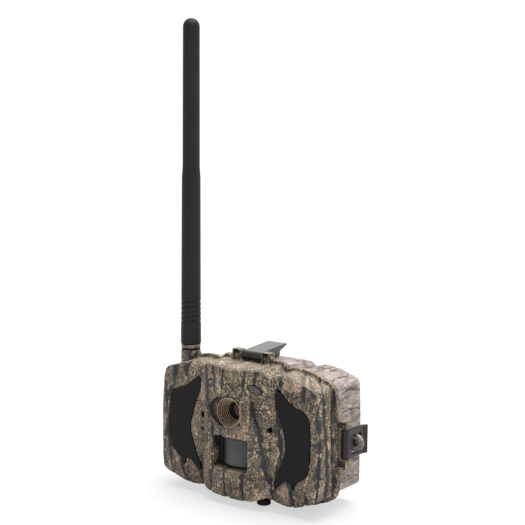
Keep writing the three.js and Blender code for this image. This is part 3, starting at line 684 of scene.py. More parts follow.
def window_material():
    """Polished near-black plastic that passes infrared."""
    paint = Paint("window_black", (0.0065, 0.0058, 0.006), 0.16, Specular_IOR_Level=0.12)
    haze = paint.noise(0.08, 3.0, 0.6)
    paint.set("Roughness", paint.ramp(haze, [(0.35, 0.11), (0.7, 0.2)]))
    shades = [(0.3, (0.0050, 0.0043, 0.0045)), (0.7, (0.0066, 0.0056, 0.0060))]
    paint.set("Base Color", paint.ramp(haze, shades))
    paint.bump(paint.noise(0.03, 1.0), 0.08, 0.3)
    return paint.material


def lens_material():
    """Coated glass: dark depth with a pink and grey painted reflection of its coating, stronger where the
    glass is seen at a glance.
    """
    paint = Paint("optical_glass", (0.02, 0.02, 0.024), 0.05, Coat_Weight=1.0, Coat_Roughness=0.02)
    facing = paint.add("LayerWeight", Blend=0.35)
    # painted reflection of the coating, by how far the glass turns from the eye
    painted_reflection = [
        (0.0, (0.07, 0.02, 0.03)),
        (0.3, (0.30, 0.09, 0.10)),
        (0.6, (0.42, 0.16, 0.17)),
        (0.9, (0.24, 0.18, 0.19)),
    ]
    paint.set("Base Color", paint.ramp(facing.outputs["Facing"], painted_reflection))
    paint.set("Roughness", paint.ramp(paint.noise(0.6, 2.0), [(0.3, 0.04), (0.7, 0.07)]))
    return paint.material


def ring_material(name, dim, lit):
    """Blotchy paint for the funnel's steps: tan on their front faces, and near-black on their walls as
    painted shade.
    """
    paint = Paint(name, roughness=0.5, Specular_IOR_Level=0.3)
    blot = paint.noise(0.5, 3.0, 0.6)
    paint.set("Base Color", paint.ramp(blot, [(0.35, dim), (0.65, lit)]))
    paint.set("Roughness", paint.ramp(blot, [(0.3, 0.42), (0.7, 0.6)]))
    return paint.material


def fresnel_material():
    """Milky dark polyethylene sheet."""
    paint = Paint("fresnel_sheet", (0.05, 0.052, 0.056), 0.42, Specular_IOR_Level=0.35)
    cloud = paint.noise(0.05, 2.0)
    paint.set("Base Color", paint.ramp(cloud, [(0.3, (0.043, 0.045, 0.05)), (0.7, (0.062, 0.065, 0.07))]))
    paint.set("Roughness", paint.ramp(paint.noise(1.0, 2.0), [(0.3, 0.38), (0.7, 0.5)]))
    return paint.material


def screen_material():
    paint = Paint("screen_glass", (0.012, 0.014, 0.018), 0.08, Coat_Weight=0.6, Coat_Roughness=0.03)
    smear = paint.noise(0.04, 4.0, 0.65)
    paint.set("Roughness", paint.ramp(smear, [(0.35, 0.06), (0.7, 0.22)]))
    paint.set("Base Color", paint.ramp(smear, [(0.3, (0.010, 0.012, 0.016)), (0.7, (0.016, 0.019, 0.024))]))
    return paint.material


SMOOTH_PEACH_DIM, SMOOTH_PEACH_LIT = (0.40, 0.275, 0.185), (0.56, 0.40, 0.28)
GREEN_CAST = (0.72, 0.86, 0.66)
# black of the splits, also used as painted shade at the foot of the door's rim
SPLIT_AND_SHADE_BLACK = (0.010, 0.010, 0.011)
# black where the shell is unprinted, also used as painted shade in holes, pockets and at recess edges
BARE_AND_SHADE_BLACK = (0.0065, 0.0065, 0.0066)
FRONT_BARK = {
    "shades": [
        (0.540, (0.010, 0.009, 0.007)),
        (0.585, (0.053, 0.043, 0.031)),
        (0.625, (0.135, 0.107, 0.076)),
        (0.665, (0.292, 0.228, 0.162)),
        (0.712, (0.590, 0.456, 0.326)),
    ],
    "olive": (0.74, 0.80, 0.62),
    "peach": (1.30, 1.02, 0.84),
    "dark": (0.012, 0.011, 0.010),
    "furrow": (0.052, 0.055, 0.060),
    "stretch": (1, 1, 0.62),
    "roughness": 0.55,
    "vein": 0.88,
    "chips": 0.7,
    "pit": 0.95,
    "glint": 0.66,
    "crest": 0.3,
    # sunken and crease: colours that paint shade in recesses and in creases
    "sunken": (0.50, 0.50, 0.40),
    "crease": (0.012, 0.010, 0.007),
}
REAR_BARK = {
    "shades": [
        (0.46, (0.095, 0.077, 0.072)),
        (0.53, (0.188, 0.152, 0.140)),
        (0.60, (0.250, 0.204, 0.185)),
        (0.67, (0.312, 0.262, 0.236)),
        (0.76, (0.440, 0.385, 0.345)),
    ],
    "olive": (0.92, 0.93, 0.94),
    "peach": (1.12, 1.0, 0.97),
    "dark": (0.075, 0.064, 0.063),
    "furrow": (0.105, 0.088, 0.086),
    "stretch": (0.8, 0.45, 1),
    "roughness": 0.48,
    "vein": 0.55,
    "chips": 0.3,
    "pit": 0.25,
    "glint": 0.4,
    "crest": 0.0,
    # sunken and crease: colours that paint the shadow behind the latch and the shade in creases
    "sunken": (0.22, 0.20, 0.19),
    "crease": (0.045, 0.038, 0.036),
}


PLASTICS = {
    "black_plastic": ((0.006, 0.006, 0.0063), 0.42, 0.01, 2.2, 0.3),
    "latch_grey": ((0.0120, 0.0108, 0.0098), 0.36, 0.006, 2.2, 0.3),
    # glossier latch paint, lighter in colour as painted light from above, for the top latch
    "latch_polished_lit": ((0.022, 0.0205, 0.019), 0.17, 0.01, 2.2, 0.62),
    # pale patch on the light sensor's dome: its chip, placed and coloured as the dome's painted highlight
    "sensor_chip_highlight": ((0.20, 0.21, 0.25), 0.2, 0.05, 0.8, 0.6),
    "smoked_window": ((0.034, 0.030, 0.036), 0.25, 0.02, 1.0, 0.6),
    "rubber": ((0.0105, 0.0092, 0.0100), 0.6, 0.008, 1.6, 0.25),
    "glass_rim": ((0.115, 0.105, 0.108), 0.35, 0.02, 1.5, 0.4),
    "card_plastic": ((0.70, 0.69, 0.64), 0.5, 0.0, 2.2, 0.5),
    "battery_jacket": ((0.02, 0.06, 0.035), 0.28, 0.02, 2.2, 0.5),
}  # colour, roughness, scuff, grain in cells a millimetre, specular level
METALS = {
    "steel": ((0.56, 0.56, 0.57), 0.32),
    "collar_metal": ((0.30, 0.235, 0.225), 0.42),
    "brass": ((0.72, 0.52, 0.24), 0.3),
}  # colour and roughness


def make_materials():
    paints = {
        "camo_front": camo_material("camo_front", FRONT_BARK),
        "camo_rear": camo_material("camo_rear", REAR_BARK),
        "window_black": window_material(),
        "ring_tan": ring_material("ring_tan", (0.21, 0.15, 0.098), (0.40, 0.295, 0.195)),
        # near-black painted shade for the walls of the funnel's steps
        "ring_shade": ring_material("ring_shade", (0.004, 0.003, 0.0025), (0.010, 0.008, 0.006)),
        "optical_glass": lens_material(),
        "fresnel_sheet": fresnel_material(),
        "circuit_board": board_material(),
        "screen_glass": screen_material(),
    }
    for name, look in PLASTICS.items():
        paints[name] = moulded_plastic(name, *look)
    for name, look in METALS.items():
        paints[name] = metal_material(name, *look)
    return paints


# ---------------- the camouflaged shells

FUNNEL_LOW, FUNNEL_HIGH = span("lens_funnel")
LENS_Z = (FUNNEL_LOW.z + FUNNEL_HIGH.z) / 2
FURROWS = [
    (1.5, [(-26, 128), (-25, 99), (-23.5, 90), (-22.7, 77), (-22, 66), (-18, 57), (-16.5, 45), (-17, 26),
           (-19, 3)]),
    (1.1, [(-17, 125), (-16.6, 100), (-15.9, 91), (-15, 85)]),
    (1.4, [(-6, 126), (-7, 96), (-7.5, 87), (-7.7, 80)]),
    (1.6, [(-9, 55), (-8, 50), (-6, 31), (-5.3, 20), (-4, 3)]),
    (1.2, [(15, 125), (12, 100), (11, 90), (10, 80)]),
    (1.3, [(12.3, 33), (11.5, 20), (11, 3)]),
    (1.7, [(20.5, 66), (22, 62), (25, 54), (26.3, 42), (28.4, 29), (31.7, 18), (33, 3)]),
    (1.8, [(42, 126), (37.8, 99), (37.7, 86), (36.8, 75), (38.4, 63), (39, 44), (36, 30)]),
    (1.0, [(24, 125), (21.8, 103), (21.3, 96), (20.7, 91)]),
    (1.3, [(-60, 120), (-58.3, 91), (-59, 80), (-66, 70)]),
    (1.5, [(-46, 118), (-47, 96), (-46, 86)]),
    (1.2, [(-68, 80), (-67, 66), (-66, 57), (-66, 43), (-63.5, 30), (-61.7, 8)]),
    (1.3, [(-53, 22), (-51, 16), (-48.8, 3)]),
    (1.5, [(61, 118), (58.5, 95), (57.8, 84)]),
    (1.9, [(66, 112), (68.3, 91), (71, 75), (72.5, 59), (71.5, 44), (71, 28), (69, 8)]),
    (1.4, [(46, 26), (47.8, 20), (51, 6)]),
    (1.5, [(77, 112), (79, 80), (79.6, 66), (81.5, 46), (82.6, 28), (80, 8)]),
    (1.2, [(90, 100), (88, 62), (90, 18)]),
    (1.5, [(-78, 108), (-80, 76), (-79, 50), (-82, 20)]),
    (1.2, [(-91, 98), (-89, 60), (-90, 16)]),
    (1.4, [(60, 20), (62, 12), (61, 2)]),
    (1.3, [(-32, 30), (-34, 16), (-33, 4)]),
]  # half width, then the line, in mm across and up the unrolled front
CRACKS = [
    [(-13, 77.5), (-4, 78.8), (1, 84), (3, 86.6), (8.3, 89.5), (10.2, 93)],
    [(3, 86.6), (-1, 89), (-5, 94), (-6.5, 101)],
    [(3, 86.6), (6.3, 82.8), (9.5, 79)],
    [(20.8, 74.5), (25, 73.4), (29, 74), (36.2, 73.3)],
    [(22, 82), (27, 80.5), (30, 83), (36, 82)],
    [(64, 54.7), (69, 54.6), (72, 56)],
    [(-22, 60), (-15, 57.8), (-9, 58.6), (-4, 56.6), (4, 57.4)],
    [(12, 46), (17, 44), (24, 46)],
    [(-5, 16), (2, 14), (11, 15.5)],
    [(14, 24), (20, 22.6), (28, 24.5)],
    [(44, 88), (49, 85), (56, 87)],
    [(-56, 100), (-50, 98), (-46, 101)],
    [(73, 84), (77, 86), (80, 90)],
    [(72, 34), (77, 31), (82, 33)],
    [(-67, 44), (-63, 42), (-60, 44)],
]  # thin branching splits, in the same unrolled millimetres
POCKET_SHADE_BOXES = [
    ((-14.7, -21, 107.1), (-10.0, -17.0, 109.9)),
    ((11.5, -21, 107.1), (16.2, -17.0, 109.9)),
    ((72.6, -16.2, 36.2), (90, -11.4, 67.6)),
]  # pockets in the latch ears, painted black as shade; low and high corners in mm
FRONT_HOLES = [(-20, 87.7, 2.7), (-31, 61, 2.2), (30.3, 59.5, 1.75), (-31.2, 50.3, 1.35)]  # x, z, radius; holes painted black as shade
RECESS = {"x": -7.4, "z": LENS_Z - 0.6, "half_width": 12.9, "half_height": 10.3}  # round the lens
TONGUE = {"x": 14.2, "z": 71.4, "straight": 7.2, "radius": 4.4}  # raised, beside the lens
WINDOW_POCKET = ((-15.6, -40.6, 26.6), (15.6, -28, 50.7))  # low and high corners; painted darker inside as shade
# the front edge of the window's mouth, painted dark as a shadow on its left side
WINDOW_LIP = ((-16.0, -42, 26.0), (16.0, -39.2, 51.2))
PEACH_PLACES = [
    (47, 94.5, 9, 5), (25, 12, 7, 5), (-9, 90, 5, 6),
    (12, 52, 5, 5), (-30, 78, 4, 7), (44, 14, 5, 6),
]  # middle and half size across and up the unrolled front
GREEN_PLACES = [
    (85, 90, 8, 12), (72, 98, 7, 9), (-72, 100, 9, 9),
    (98, 40, 8, 20), (4, 92, 9, 6), (0, 24, 12, 5),
]
EYE = {"x": 78.2, "y": 0.9, "z": 51.3, "hole": 1.8, "root_x": 74}  # the padlock eye; hole is a radius
REAR_SIDE_LINES = [
    (0.9, [(-9, 95), (4, 97), (16, 95.5), (30, 91)]),
    (0.6, [(-2, 84), (10, 87), (24, 83)]),
    (0.7, [(-9, 70), (6, 73), (20, 71), (30, 68)]),
    (0.8, [(4, 38), (14, 35), (30, 37)]),
    (0.6, [(-8, 22), (8, 25), (22, 21)]),
]  # half width, then the crease line, in mm back and up the rear case's sides
REAR_TOP_LINES = [
    (0.9, [(-8, 62), (6, 58), (18, 60), (30, 55)]),
    (0.7, [(-8, 46), (10, 44), (30, 47)]),
    (0.8, [(0, 33), (14, 30), (30, 32)]),
    (0.7, [(-6, 18), (12, 20), (26, 16)]),
]  # the same on its top, in mm back and away from the middle
SLIT = [(18.9, LENS_Z + 10), (19.5, LENS_Z + 4), (20.3, LENS_Z - 1), (22.4, LENS_Z - 6)]  # x, z
CASE_HOLLOW = (73.5, -9.5, 24)  # half width, front and back of the rear case's hollow


def store_vectors(mesh, name, *columns):
    """Keeps three numbers at each vertex, for the material to read."""
    layer = mesh.attributes.new(name, "FLOAT_VECTOR", "POINT")
    layer.data.foreach_set("vector", np.stack(columns, 1).ravel())


def push_in(mesh, points, normals, depth):
    mesh.vertices.foreach_set("co", ((points - normals * depth[:, None]) * MM).ravel())
    mesh.update()


def bell(value, width):
    """1 where value is 0, falling off on both sides."""
    return np.exp(-((value / width) ** 2))


def groove(sine, cosine, width):
    """1 in the middle of a furrow, 0 beyond width, in units of the sine."""
    return step_down(np.abs(sine), 0.1 * width, width) * (cosine > 0)


def inside_box(points, low, high, soft=0.35):
    """1 for points well inside a box given in mm, fading to 0 at its faces."""
    inward = np.minimum(points - np.array(low), np.array(high) - points).min(axis=1)
    return np.clip(inward / soft + 0.5, 0, 1)


def facing_in(points, normals):
    """How far each point of a hollow shell faces its middle, in mm; outer skin is below zero."""
    return -(normals * (points - np.array((0, SEAM_Y, 50)))).sum(axis=1)


def in_hollow(points, half_width, low_y, high_y):
    """True between two depths of a shell of the given half width."""
    x, y, z = points.T
    return (np.abs(x) < half_width) & (y > low_y) & (y < high_y) & (np.abs(z - 52) < 50)


def beyond_tongue(x, z):
    """Millimetres outside the outline of the raised tongue beside the lens."""
    past_end = np.maximum(np.abs(z - TONGUE["z"]) - TONGUE["straight"], 0)
    return np.hypot(x - TONGUE["x"], past_end) - TONGUE["radius"]


def unrolled(x, y, z):
    """Millimetres across and up the door's skin, its sides and top folded flat with the front."""
    across = x + np.maximum(y + 34, 0) * np.clip(x / 60, -1, 1)
    up = z + np.maximum(y + 36, 0) * np.clip((z - 86) / 14, 0, 1)
    return across, up


def furrow_field(u, v):
    """1 along the middle of the long furrows, 0 beyond them."""
    field = np.zeros_like(u)
    ragged_u = u + 0.9 * skin_noise(u, v, 3.1, 5.5, 3)
    ragged_u += 0.4 * skin_noise(u, v, 1.2, 2.2, 4)
    uneven = 1.05 + 0.75 * skin_noise(u, v, 4, 6, 6)
    for half, line in FURROWS:
        distance, along = near_line(ragged_u, v, line)
        swell = 0.55 + 0.45 * np.sin(np.pi * np.clip(along, 0.03, 0.97))
        width = np.maximum(half * swell * uneven, 0.35)
        field = np.maximum(field, step_down(distance / width, 0.1, 2.4))
    return field


def crack_field(u, v):
    """Close to 1 along the thin splits, 0 beyond them."""
    field = np.zeros_like(u)
    wobble = 0.6 * skin_noise(u, v, 1.7, 1.7, 5)
    for line in CRACKS:
        distance, along = near_line(u + wobble, v + wobble, line)
        width = 0.95 - 0.45 * along
        field = np.maximum(field, 0.9 * step_down(distance, width * 0.3, width))
    return field


def slit_field(points, normals):
    """1 in the dark slit on the right of the lens, 0 beyond it."""
    x, y, z = points.T
    facing = step_down(y, -34.2, -33.0) * step_down(normals[:, 1], -0.55, -0.2)
    distance, along = near_line(x, z, SLIT)
    width = 0.6 + 1.2 * np.sin(np.pi * np.clip(along, 0.06, 0.94))
    return step_down(distance, width * 0.6, width) * facing


def carve_front(mesh):
    """Bark relief on the door, with its furrows, splits and the slit beside the lens."""
    points, normals = vertex_array(mesh) / MM, normal_array(mesh)
    x, y, z = points.T
    zero = np.zeros_like(x)
    u, v = unrolled(x, y, z)
    main, split, slit = furrow_field(u, v), crack_field(u, v), slit_field(points, normals)
    sine, cosine = furrow_wave(u, v, 11.5, 4.0, 11)
    fine_sine, fine_cosine = furrow_wave(u, v * 1.3, 4.6, 3.2, 23)
    strength = np.clip(0.15 + 1.0 * skin_noise(u, v, 8, 15, 31), 0, 0.85)
    faint = np.clip(0.2 + 1.3 * skin_noise(u, v, 6, 9, 37), 0, 1)
    depth = 0.9 * main**2 + 0.3 * strength * groove(sine, cosine, 0.8)
    depth += 0.2 * faint * groove(fine_sine, fine_cosine, 0.7)
    depth += 0.16 * (1 + value_noise(x / 1.6, y / 1.6, z / 2.4, 21)) + 0.4 * split + 1.4 * slit
    # crease feeds painted shade in the creases; edge makes convex edges paler
    crease, edge = crease_and_edge(mesh, points, normals)
    push_in(mesh, points, normals, depth * step_down(y, -11.2, -10.6))
    hair = np.where(fine_cosine > 0, np.abs(fine_sine), 1) + 0.9 * (1 - faint)
    patch = skin_noise(u, v, 8, 12, 41)
    # painted shade at the foot of the rim's step, laid black with the splits
    rim_foot = 0.9 * bell(y + 14.7, 0.5) * step_down(np.abs(normals[:, 1]), 0.6, 0.9)
    rim_foot *= 0.6 + 0.5 * skin_noise(u, v, 3, 3, 43)
    peach, green, lightened = front_tint(points)
    # painted light: top faces lightened, and the front's convex edges made paler, beside the tongue's
    # painted highlight
    painted_top_light = 0.3 * step_down(-normals[:, 2], -0.85, -0.45)
    lightened = np.maximum.reduce([lightened, painted_top_light, 0.3 * edge * step_down(y, -36, -34.5)])
    store_vectors(mesh, "bark", sine, cosine, strength)
    store_vectors(mesh, "bark_fine", hair, np.maximum.reduce([split, slit, rim_foot]), patch)
    store_vectors(mesh, "bark_main", main, *front_shade(points, normals))
    store_vectors(mesh, "bark_tint", peach, green, lightened)
    store_vectors(mesh, "bark_wear", crease, zero, zero)


def front_shade(points, normals):
    """Where the door is painted black and where darker: its unprinted inside, and painted shade in pockets,
    holes, recesses and at the window's and tongue's edges.
    """
    x, y, z = points.T
    bare_and_shade = np.zeros(len(points))
    for low, high in POCKET_SHADE_BOXES:
        bare_and_shade = np.maximum(bare_and_shade, inside_box(points, low, high))
    # holes painted black as shade
    for centre_x, centre_z, radius in FRONT_HOLES:
        reach = np.hypot(x - centre_x, z - centre_z)
        bare_and_shade = np.maximum(bare_and_shade, step_down(reach, radius - 0.1, radius + 0.35) * step_down(y, -30, -25))
    # painted shade inside the window's pocket, and a painted shadow along the left of its mouth
    in_window = inside_box(points, *WINDOW_POCKET)
    window_lip = inside_box(points, *WINDOW_LIP) * in_window * (x < -14)
    across, up = (x - RECESS["x"]) / RECESS["half_width"], (z - RECESS["z"]) / RECESS["half_height"]
    recess = 1 - np.hypot(across, up)
    # painted shade on the recess's floor, and a painted shadow along its left wall
    recess_floor = step_down(-recess, 0.0, 0.03) * step_down(y, -30, -28) * step_down(-y, 38.6, 39.4)
    recess_wall = bell(recess, 0.045) * step_down(-y, 38.9, 41.2) * (x < -9)
    # painted shadow at the tongue's foot, strongest below it
    tongue_foot = bell(beyond_tongue(x, z) - 0.15, 0.5) * step_down(-y, 40.3, 42.6) * step_down(y, -37, -36)
    tongue_foot *= 0.35 + 0.65 * step_down(z, 60, 66)
    lining = np.clip(facing_in(points, normals) / 4, 0, 1) * in_hollow(points, 74, -14, 100)
    bare_and_shade = np.maximum.reduce([bare_and_shade, lining, 0.8 * window_lip, 0.8 * recess_wall, 0.7 * tongue_foot])
    return bare_and_shade, np.maximum(recess_floor, in_window)


def front_tint(points):
    """Where the print turns peach, where it turns green, and a painted highlight along the rim of the
    raised tongue.
    """
    x, y, z = points.T
    u, v = unrolled(x, y, z)
    wander = 0.35 * skin_noise(u, v, 4, 4, 81) + 0.2 * skin_noise(u, v, 1.6, 1.6, 83)
    tints = []
    for places in (PEACH_PLACES, GREEN_PLACES):
        field = np.zeros_like(x)
        for centre_u, centre_v, half_u, half_v in places:
            reach = np.hypot((u - centre_u) / half_u, (v - centre_v) / half_v) + wander
            field = np.maximum(field, step_down(reach, 0.75, 1.15))
        tints.append(field)
    lightened = bell(beyond_tongue(x, z) + 0.7, 0.45) * step_down(y, -42.8, -42.2)
    return *tints, lightened


def flare_eye_hole(points):
    """Opens the padlock eye's hole at the front and narrows it at the back."""
    x, y, z = points.T
    across, up = x - EYE["x"], z - EYE["z"]
    in_hole = step_down(np.hypot(across, up), 2.1, 2.6) * (x > EYE["root_x"])
    flare = in_hole * (0.3 - 0.8 * step_down(-y, -2.6, 0.6))
    points[:, 0] += across * flare
    points[:, 2] += up * flare


def rear_creases(points, normals):
    """1 along the long creases of the rear case, 0 beyond them."""
    x, y, z = points.T
    wobble = 0.7 * value_noise(x / 3, y / 3, z / 3, 75)
    field = np.zeros(len(points))
    sides = (REAR_SIDE_LINES, z, np.abs(normals[:, 0]))
    top = (REAR_TOP_LINES, np.abs(x), normals[:, 2])
    for lines, away, faces in (sides, top):
        for half, line in lines:
            distance, along = near_line(y, away + wobble, line)
            swell = half * (0.4 + 0.6 * np.sin(np.pi * along))
            field = np.maximum(field, step_down(distance / swell, 0.1, 2.2) * step_down(-faces, -0.6, -0.3))
    return field


def rear_shade(points, normals):
    """Where the rear case is painted black and where darker: black lining, the padlock eye's hole with
    painted shade round its mouth, and a painted shadow behind the latch.
    """
    x, y, z = points.T
    # the eye's hole, unprinted inside and painted black round its mouth as shade
    hole = step_down(np.hypot(x - EYE["x"], z - EYE["z"]), EYE["hole"] + 0.5, EYE["hole"] + 0.9)
    lining = np.clip(facing_in(points, normals) / 1.5, 0, 1) * in_hollow(points, *CASE_HOLLOW)
    # painted shadow on the case's side behind the latch
    from_eye = np.hypot((y - EYE["y"]) / 8, (z - EYE["z"]) / 9)
    painted_shadow = 0.75 * step_down(from_eye, 0.35, 1.15) * (normals[:, 0] > 0.5) * (x < 77)
    return np.maximum(hole * (x > EYE["root_x"]), lining), painted_shadow


def carve_rear(mesh):
    """Shallower relief on the rear case, its grain running front to back."""
    points, normals = vertex_array(mesh) / MM, normal_array(mesh)
    x, y, z = points.T
    zero = np.zeros_like(x)
    side = np.clip((z - 50) / 35, -1, 1)
    back = y > 24.4
    u, v = np.where(back, x, z - np.sqrt(x * x + 60) * side), np.where(back, z, y)
    sine, cosine = furrow_wave(u, v * 0.8, 9.5, 4.0, 51)
    fine_sine, fine_cosine = furrow_wave(u, v, 4.1, 2.6, 57)
    strength = np.clip(0.35 + 1.0 * skin_noise(u, v, 9, 15, 61), 0, 1) * 0.8
    faint = np.clip(0.15 + 1.2 * skin_noise(u, v, 6, 8, 67), 0, 1)
    above_pad = 1 - step_down(z, 0.4, 1.2)
    depth = 0.25 * strength * groove(sine, cosine, 0.8) + 0.12 * faint * groove(fine_sine, fine_cosine, 0.7)
    depth += 0.07 * (1 + value_noise(x / 1.8, y / 3.0, z / 1.8, 71))
    flare_eye_hole(points)
    main = rear_creases(points, normals)
    # crease feeds painted shade in the creases; edge darkens the convex edges
    crease, edge = crease_and_edge(mesh, points, normals)
    push_in(mesh, points, normals, (depth + 0.4 * main) * above_pad)
    hair = np.where(fine_cosine > 0, np.abs(fine_sine), 1) + 0.9 * (1 - faint)
    store_vectors(mesh, "bark", sine, cosine, strength)
    store_vectors(mesh, "bark_fine", hair, zero, skin_noise(u, v, 8, 12, 73))
    store_vectors(mesh, "bark_main", main, *rear_shade(points, normals))
    store_vectors(mesh, "bark_tint", zero, zero, zero)
    store_vectors(mesh, "bark_wear", crease, edge, zero)


FRONT_VOXEL = 0.7
REAR_VOXEL = 0.8
SHELL_PASSES = 2  # of smoothing after the remesh


def make_shells(paints):
    def behind_skin(points, normals):
        return (facing_in(points, normals) > 2) & (points[:, 1] > -33)

    def case_lining(points, normals):
        return (facing_in(points, normals) > 2) & in_hollow(points, *CASE_HOLLOW)

    front = sculpted("front_cover_skin", "front_shell", FRONT_VOXEL, SHELL_PASSES,
                     paints["camo_front"], behind_skin)
    carve_front(front.data)
    rear = sculpted("rear_case_skin", "rear_shell", REAR_VOXEL, SHELL_PASSES,
                    paints["camo_rear"], case_lining)
    carve_rear(rear.data)


# ---------------- lens


def facing_front(node):
    """Middle, back, front and outer radius of a node that is turned about a front-to-back axis."""
    low, high = span(node)
    centre = Vector(((low.x + high.x) / 2, 0, (low.z + high.z) / 2))
    return centre, -high.y, -low.y, (high.x - low.x) / 2


def lens_rings(paints):
    """The funnel with its fine steps, tan on their front faces and near-black painted shade on their walls.
    """
    centre, back, front, outer = facing_front("lens_funnel")
    throat, rings = 6.55, 6
    mouth = outer - 0.55
    floor = back + 0.95
    width, drop = (mouth - throat) / rings, (front - floor) / rings
    profile = [(throat, back), (outer - 0.3, back), (outer, back + 0.3)]
    profile += [(outer, front - 0.25), (outer - 0.2, front)]
    for ring in range(rings):
        r, h = mouth - ring * width, front - ring * drop
        profile += [(r, h), (r - 0.1, h - 0.05), (r - 0.1, h - drop), (r - 0.5 * width, h - drop)]
    profile += [(throat, floor), (throat, back)]

    def on_wall(face):
        return abs(face.normal.y) <= 0.55

    both = (paints["ring_tan"], paints["ring_shade"])
    turned_piece("lens_rings", "lens_funnel", profile, centre, "-Y", 96, both, on_wall, 32)
    return centre


def lens_barrel(paints, centre):
    """The black barrel with grooves inside its mouth."""
    _, back, front, outer = facing_front("lens_barrel")
    profile = [(4.2, back), (outer, back), (outer, front - 0.3), (outer - 0.3, front)]
    profile += [(6.0, front), (5.75, front - 0.3)]
    for ring in range(5):
        h = front - 0.6 - 0.9 * ring
        profile += [(5.75, h), (5.6, h - 0.1), (5.6, h - 0.5), (5.75, h - 0.6)]
    profile += [(5.72, back + 3), (4.2, back + 3), (4.2, back)]
    black = [paints["black_plastic"]]
    turned_piece("lens_barrel_rings", "lens_barrel", profile, centre, "-Y", 72, black, sharp=32)


def lens_element(paints, centre):
    """A coated dome standing on a grey ground shoulder."""
    _, back, front, radius = facing_front("lens_glass")
    shoulder, dome = front - 0.75, radius - 2.3
    rise = 0.34
    profile = [(0, back), (radius - 0.2, back), (radius, back + 0.2)]
    profile += [(radius, shoulder - 0.3), (radius - 0.25, shoulder)]
    profile += [(dome + 0.15, shoulder + 0.3), (dome, shoulder + rise)]
    for step in range(1, 13):
        r = dome * (1 - step / 12)
        profile.append((r, front - (front - shoulder - rise) * (r / dome) ** 2))

    def on_shoulder(face):
        return math.hypot(face.center.x / MM - centre.x, face.center.z / MM - centre.z) > dome

    both = (paints["optical_glass"], paints["glass_rim"])
    turned_piece("lens_element", "lens_glass", profile, centre, "-Y", 72, both, on_shoulder, 40)


def camera_lens(paints):
    centre = lens_rings(paints)
    lens_barrel(paints, centre)
    lens_element(paints, centre)


# ---------------- antenna

GRIP_GROOVE = [
    (0, -0.5), (0, 0), (-0.14, 0.12), (-0.5, 0.4), (-0.55, 0.6),
    (-0.5, 0.8), (-0.14, 1.08), (0, 1.2), (0, 1.7),
]  # out from the whip's skin and up, in mm
WHIP_TAPER = [
    (60, 7.2), (100, 7.05), (118, 6.98), (124, 6.93), (126, 6.86),
    (129, 6.62), (132, 6.46), (135, 6.4), (180, 6.3),
]  # height above the foot and radius


def antenna(paints):
    """Rubber whip with its five grip grooves, turned collar and ring seal."""
    low, high = span("antenna_whip")
    centre = Vector(((low.x + high.x) / 2, (low.y + high.y) / 2, 0))
    base_r, foot, tip = (high.x - low.x) / 2, low.z, high.z
    tip_r = 6.15
    profile = [(0, foot), (base_r - 0.5, foot), (base_r - 0.12, foot + 0.25)]
    profile += [(base_r, foot + 0.8), (base_r, foot + 4), (base_r - 0.1, foot + 13.1)]
    for ring in range(5):
        z = foot + 16.5 + 3.7 * ring
        r = base_r - 0.15 - 0.03 * ring
        profile += [(r + out, z + up) for out, up in GRIP_GROOVE]
    profile += [(r, foot + z) for z, r in WHIP_TAPER]
    profile.append((tip_r + 0.02, tip - 8))
    for turn in range(9):
        angle = turn * math.pi / 16
        profile.append((tip_r * math.cos(angle), tip - tip_r + tip_r * math.sin(angle)))
    profile.append((0, tip))
    turned_piece("antenna_rubber", "antenna_whip", profile, centre, "Z", 64, [paints["rubber"]])
    antenna_collar(paints, centre)
    antenna_seal(paints, centre)


def antenna_collar(paints, centre):
    low, high = span("antenna_collar")
    r, z0, z1 = (high.x - low.x) / 2, low.z, high.z
    bore = 3.5
    profile = [(bore, z0), (r - 0.55, z0), (r - 0.4, z0 + 0.15), (r, z0 + 0.45), (r, z0 + 0.9)]
    profile += [(r - 0.18, z0 + 1.0), (r - 0.18, z0 + 1.25), (r, z0 + 1.35), (r, z1 - 0.5)]
    profile += [(r - 0.25, z1 - 0.12), (r - 0.5, z1), (bore, z1), (bore, z0)]
    metal = [paints["collar_metal"]]
    turned_piece("collar_turned", "antenna_collar", profile, centre, "Z", 96, metal, sharp=40)


def antenna_seal(paints, centre):
    low, high = span("antenna_seal")
    tube, ring, z = (high.z - low.z) / 2, (high.x - low.x) / 2 - 1, (high.z + low.z) / 2
    profile = [(ring + math.cos(a), z + tube * math.sin(a)) for a in (k * math.pi / 10 for k in range(20))]
    turned_piece("seal_ring", "antenna_seal", profile + profile[:1], centre, "Z", 72, [paints["rubber"]])


# ---------------- motion sensor window


SHEET_THICK = 0.8
RIB_PROUD = 0.08


def sheet_layer(build, low, high, inner, across, up):
    """One face of the bowed sheet as a grid of vertices; the inner one carries the ribs."""
    half, bow = (high.x - low.x) / 2, high.y - low.y - SHEET_THICK
    radius = (half * half + bow**2) / (2 * bow)
    ends = math.asin(half / radius)
    grid = []
    for row in range(up + 1):
        z = low.z + (high.z - low.z) * row / up
        line = []
        for column in range(across + 1):
            angle = -ends + 2 * ends * column / across
            rib = RIB_PROUD * (column % 4 == 0)
            r = radius - SHEET_THICK + rib if inner else radius
            y = low.y + radius - r * math.cos(angle)
            line.append(build.verts.new((r * math.sin(angle) * MM, y * MM, z * MM)))
        grid.append(line)
    return grid


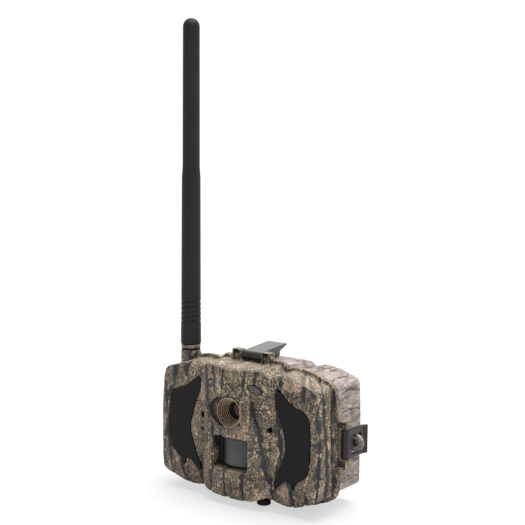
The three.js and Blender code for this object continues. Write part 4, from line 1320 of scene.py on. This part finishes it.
def motion_window(paints):
    """The milky sheet, bowed forward, with its fine lens ribs pressed in the back."""
    low, high = span("pir_lens")
    across, up = 60, 8
    mesh = bpy.data.meshes.new("motion_sheet")
    build = bmesh.new()
    front, rear = (sheet_layer(build, low, high, inner, across, up) for inner in (False, True))
    for row in range(up):
        for below, above in ((front[row], front[row + 1]), (rear[row], rear[row + 1])):
            for column in range(across):
                build.faces.new((below[column], below[column + 1], above[column + 1], above[column]))
        for column in (0, across):
            side = [grid[row][column] for grid in (front, rear)]
            next_side = [grid[row + 1][column] for grid in (rear, front)]
            build.faces.new(side + next_side)
    for row in (0, up):
        for column in range(across):
            end = [front[row][column], front[row][column + 1]]
            build.faces.new(end + [rear[row][column + 1], rear[row][column]])
    bmesh.ops.recalc_face_normals(build, faces=build.faces)
    build.to_mesh(mesh)
    build.free()
    shade_smooth(mesh)
    flat_edges(mesh, 35)
    mesh.materials.append(paints["fresnel_sheet"])
    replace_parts(new_piece("motion_sheet", mesh, "front_door"), "pir_lens")


def light_sensor(paints):
    """A dark dome with a pale patch on its upper right, standing for the sensor's chip and painted as the
    dome's highlight.
    """
    centre, back, front, radius = facing_front("light_sensor_window")
    rise = 0.85
    profile = [(0, back), (radius, back), (radius, front - 0.9)]
    for turn in range(9):
        angle = turn * math.pi / 16
        profile.append((radius * math.cos(angle), front - rise + rise * math.sin(angle)))
    profile.append((0, front))

    def on_chip_highlight(face):
        across = face.center.x / MM - centre.x - 0.5
        up = face.center.z / MM - centre.z - 0.4
        return math.hypot(across, up * 0.8) < 0.95 and face.normal.y < -0.3

    both = (paints["smoked_window"], paints["sensor_chip_highlight"])
    turned_piece("sensor_dome", "light_sensor_window", profile, centre, "-Y", 48, both, on_chip_highlight)


# ---------------- the whole camera

SCULPTED = {
    "top_latch": (0.35, 2),
    "side_latch": (0.3, 2),
    "jack_plug": (0.25, 2),
}  # voxel size in mm and softening passes
OTHER_PAINT = {
    # the top latch takes a glossier latch paint, lighter in colour as painted light from above
    "top_latch": "latch_polished_lit",
    "indicator_window": "smoked_window",
}  # nodes whose paint isn't the one of their slot
EDGE_ROUND = 0.2  # mm, on the nodes that are shown as they are

make_studio()
paints = make_materials()
make_shells(paints)
camera_lens(paints)
antenna(paints)
motion_window(paints)
light_sensor(paints)


def paint_of(node):
    return paints[OTHER_PAINT.get(node, slot_of(node))]


for node, (voxel, smooth) in SCULPTED.items():
    sculpted(node + "_moulding", node, voxel, smooth, paint_of(node))

for node in NODES:
    if not NODES[node].hide_render:
        bevelled(node, EDGE_ROUND, paint_of(node))
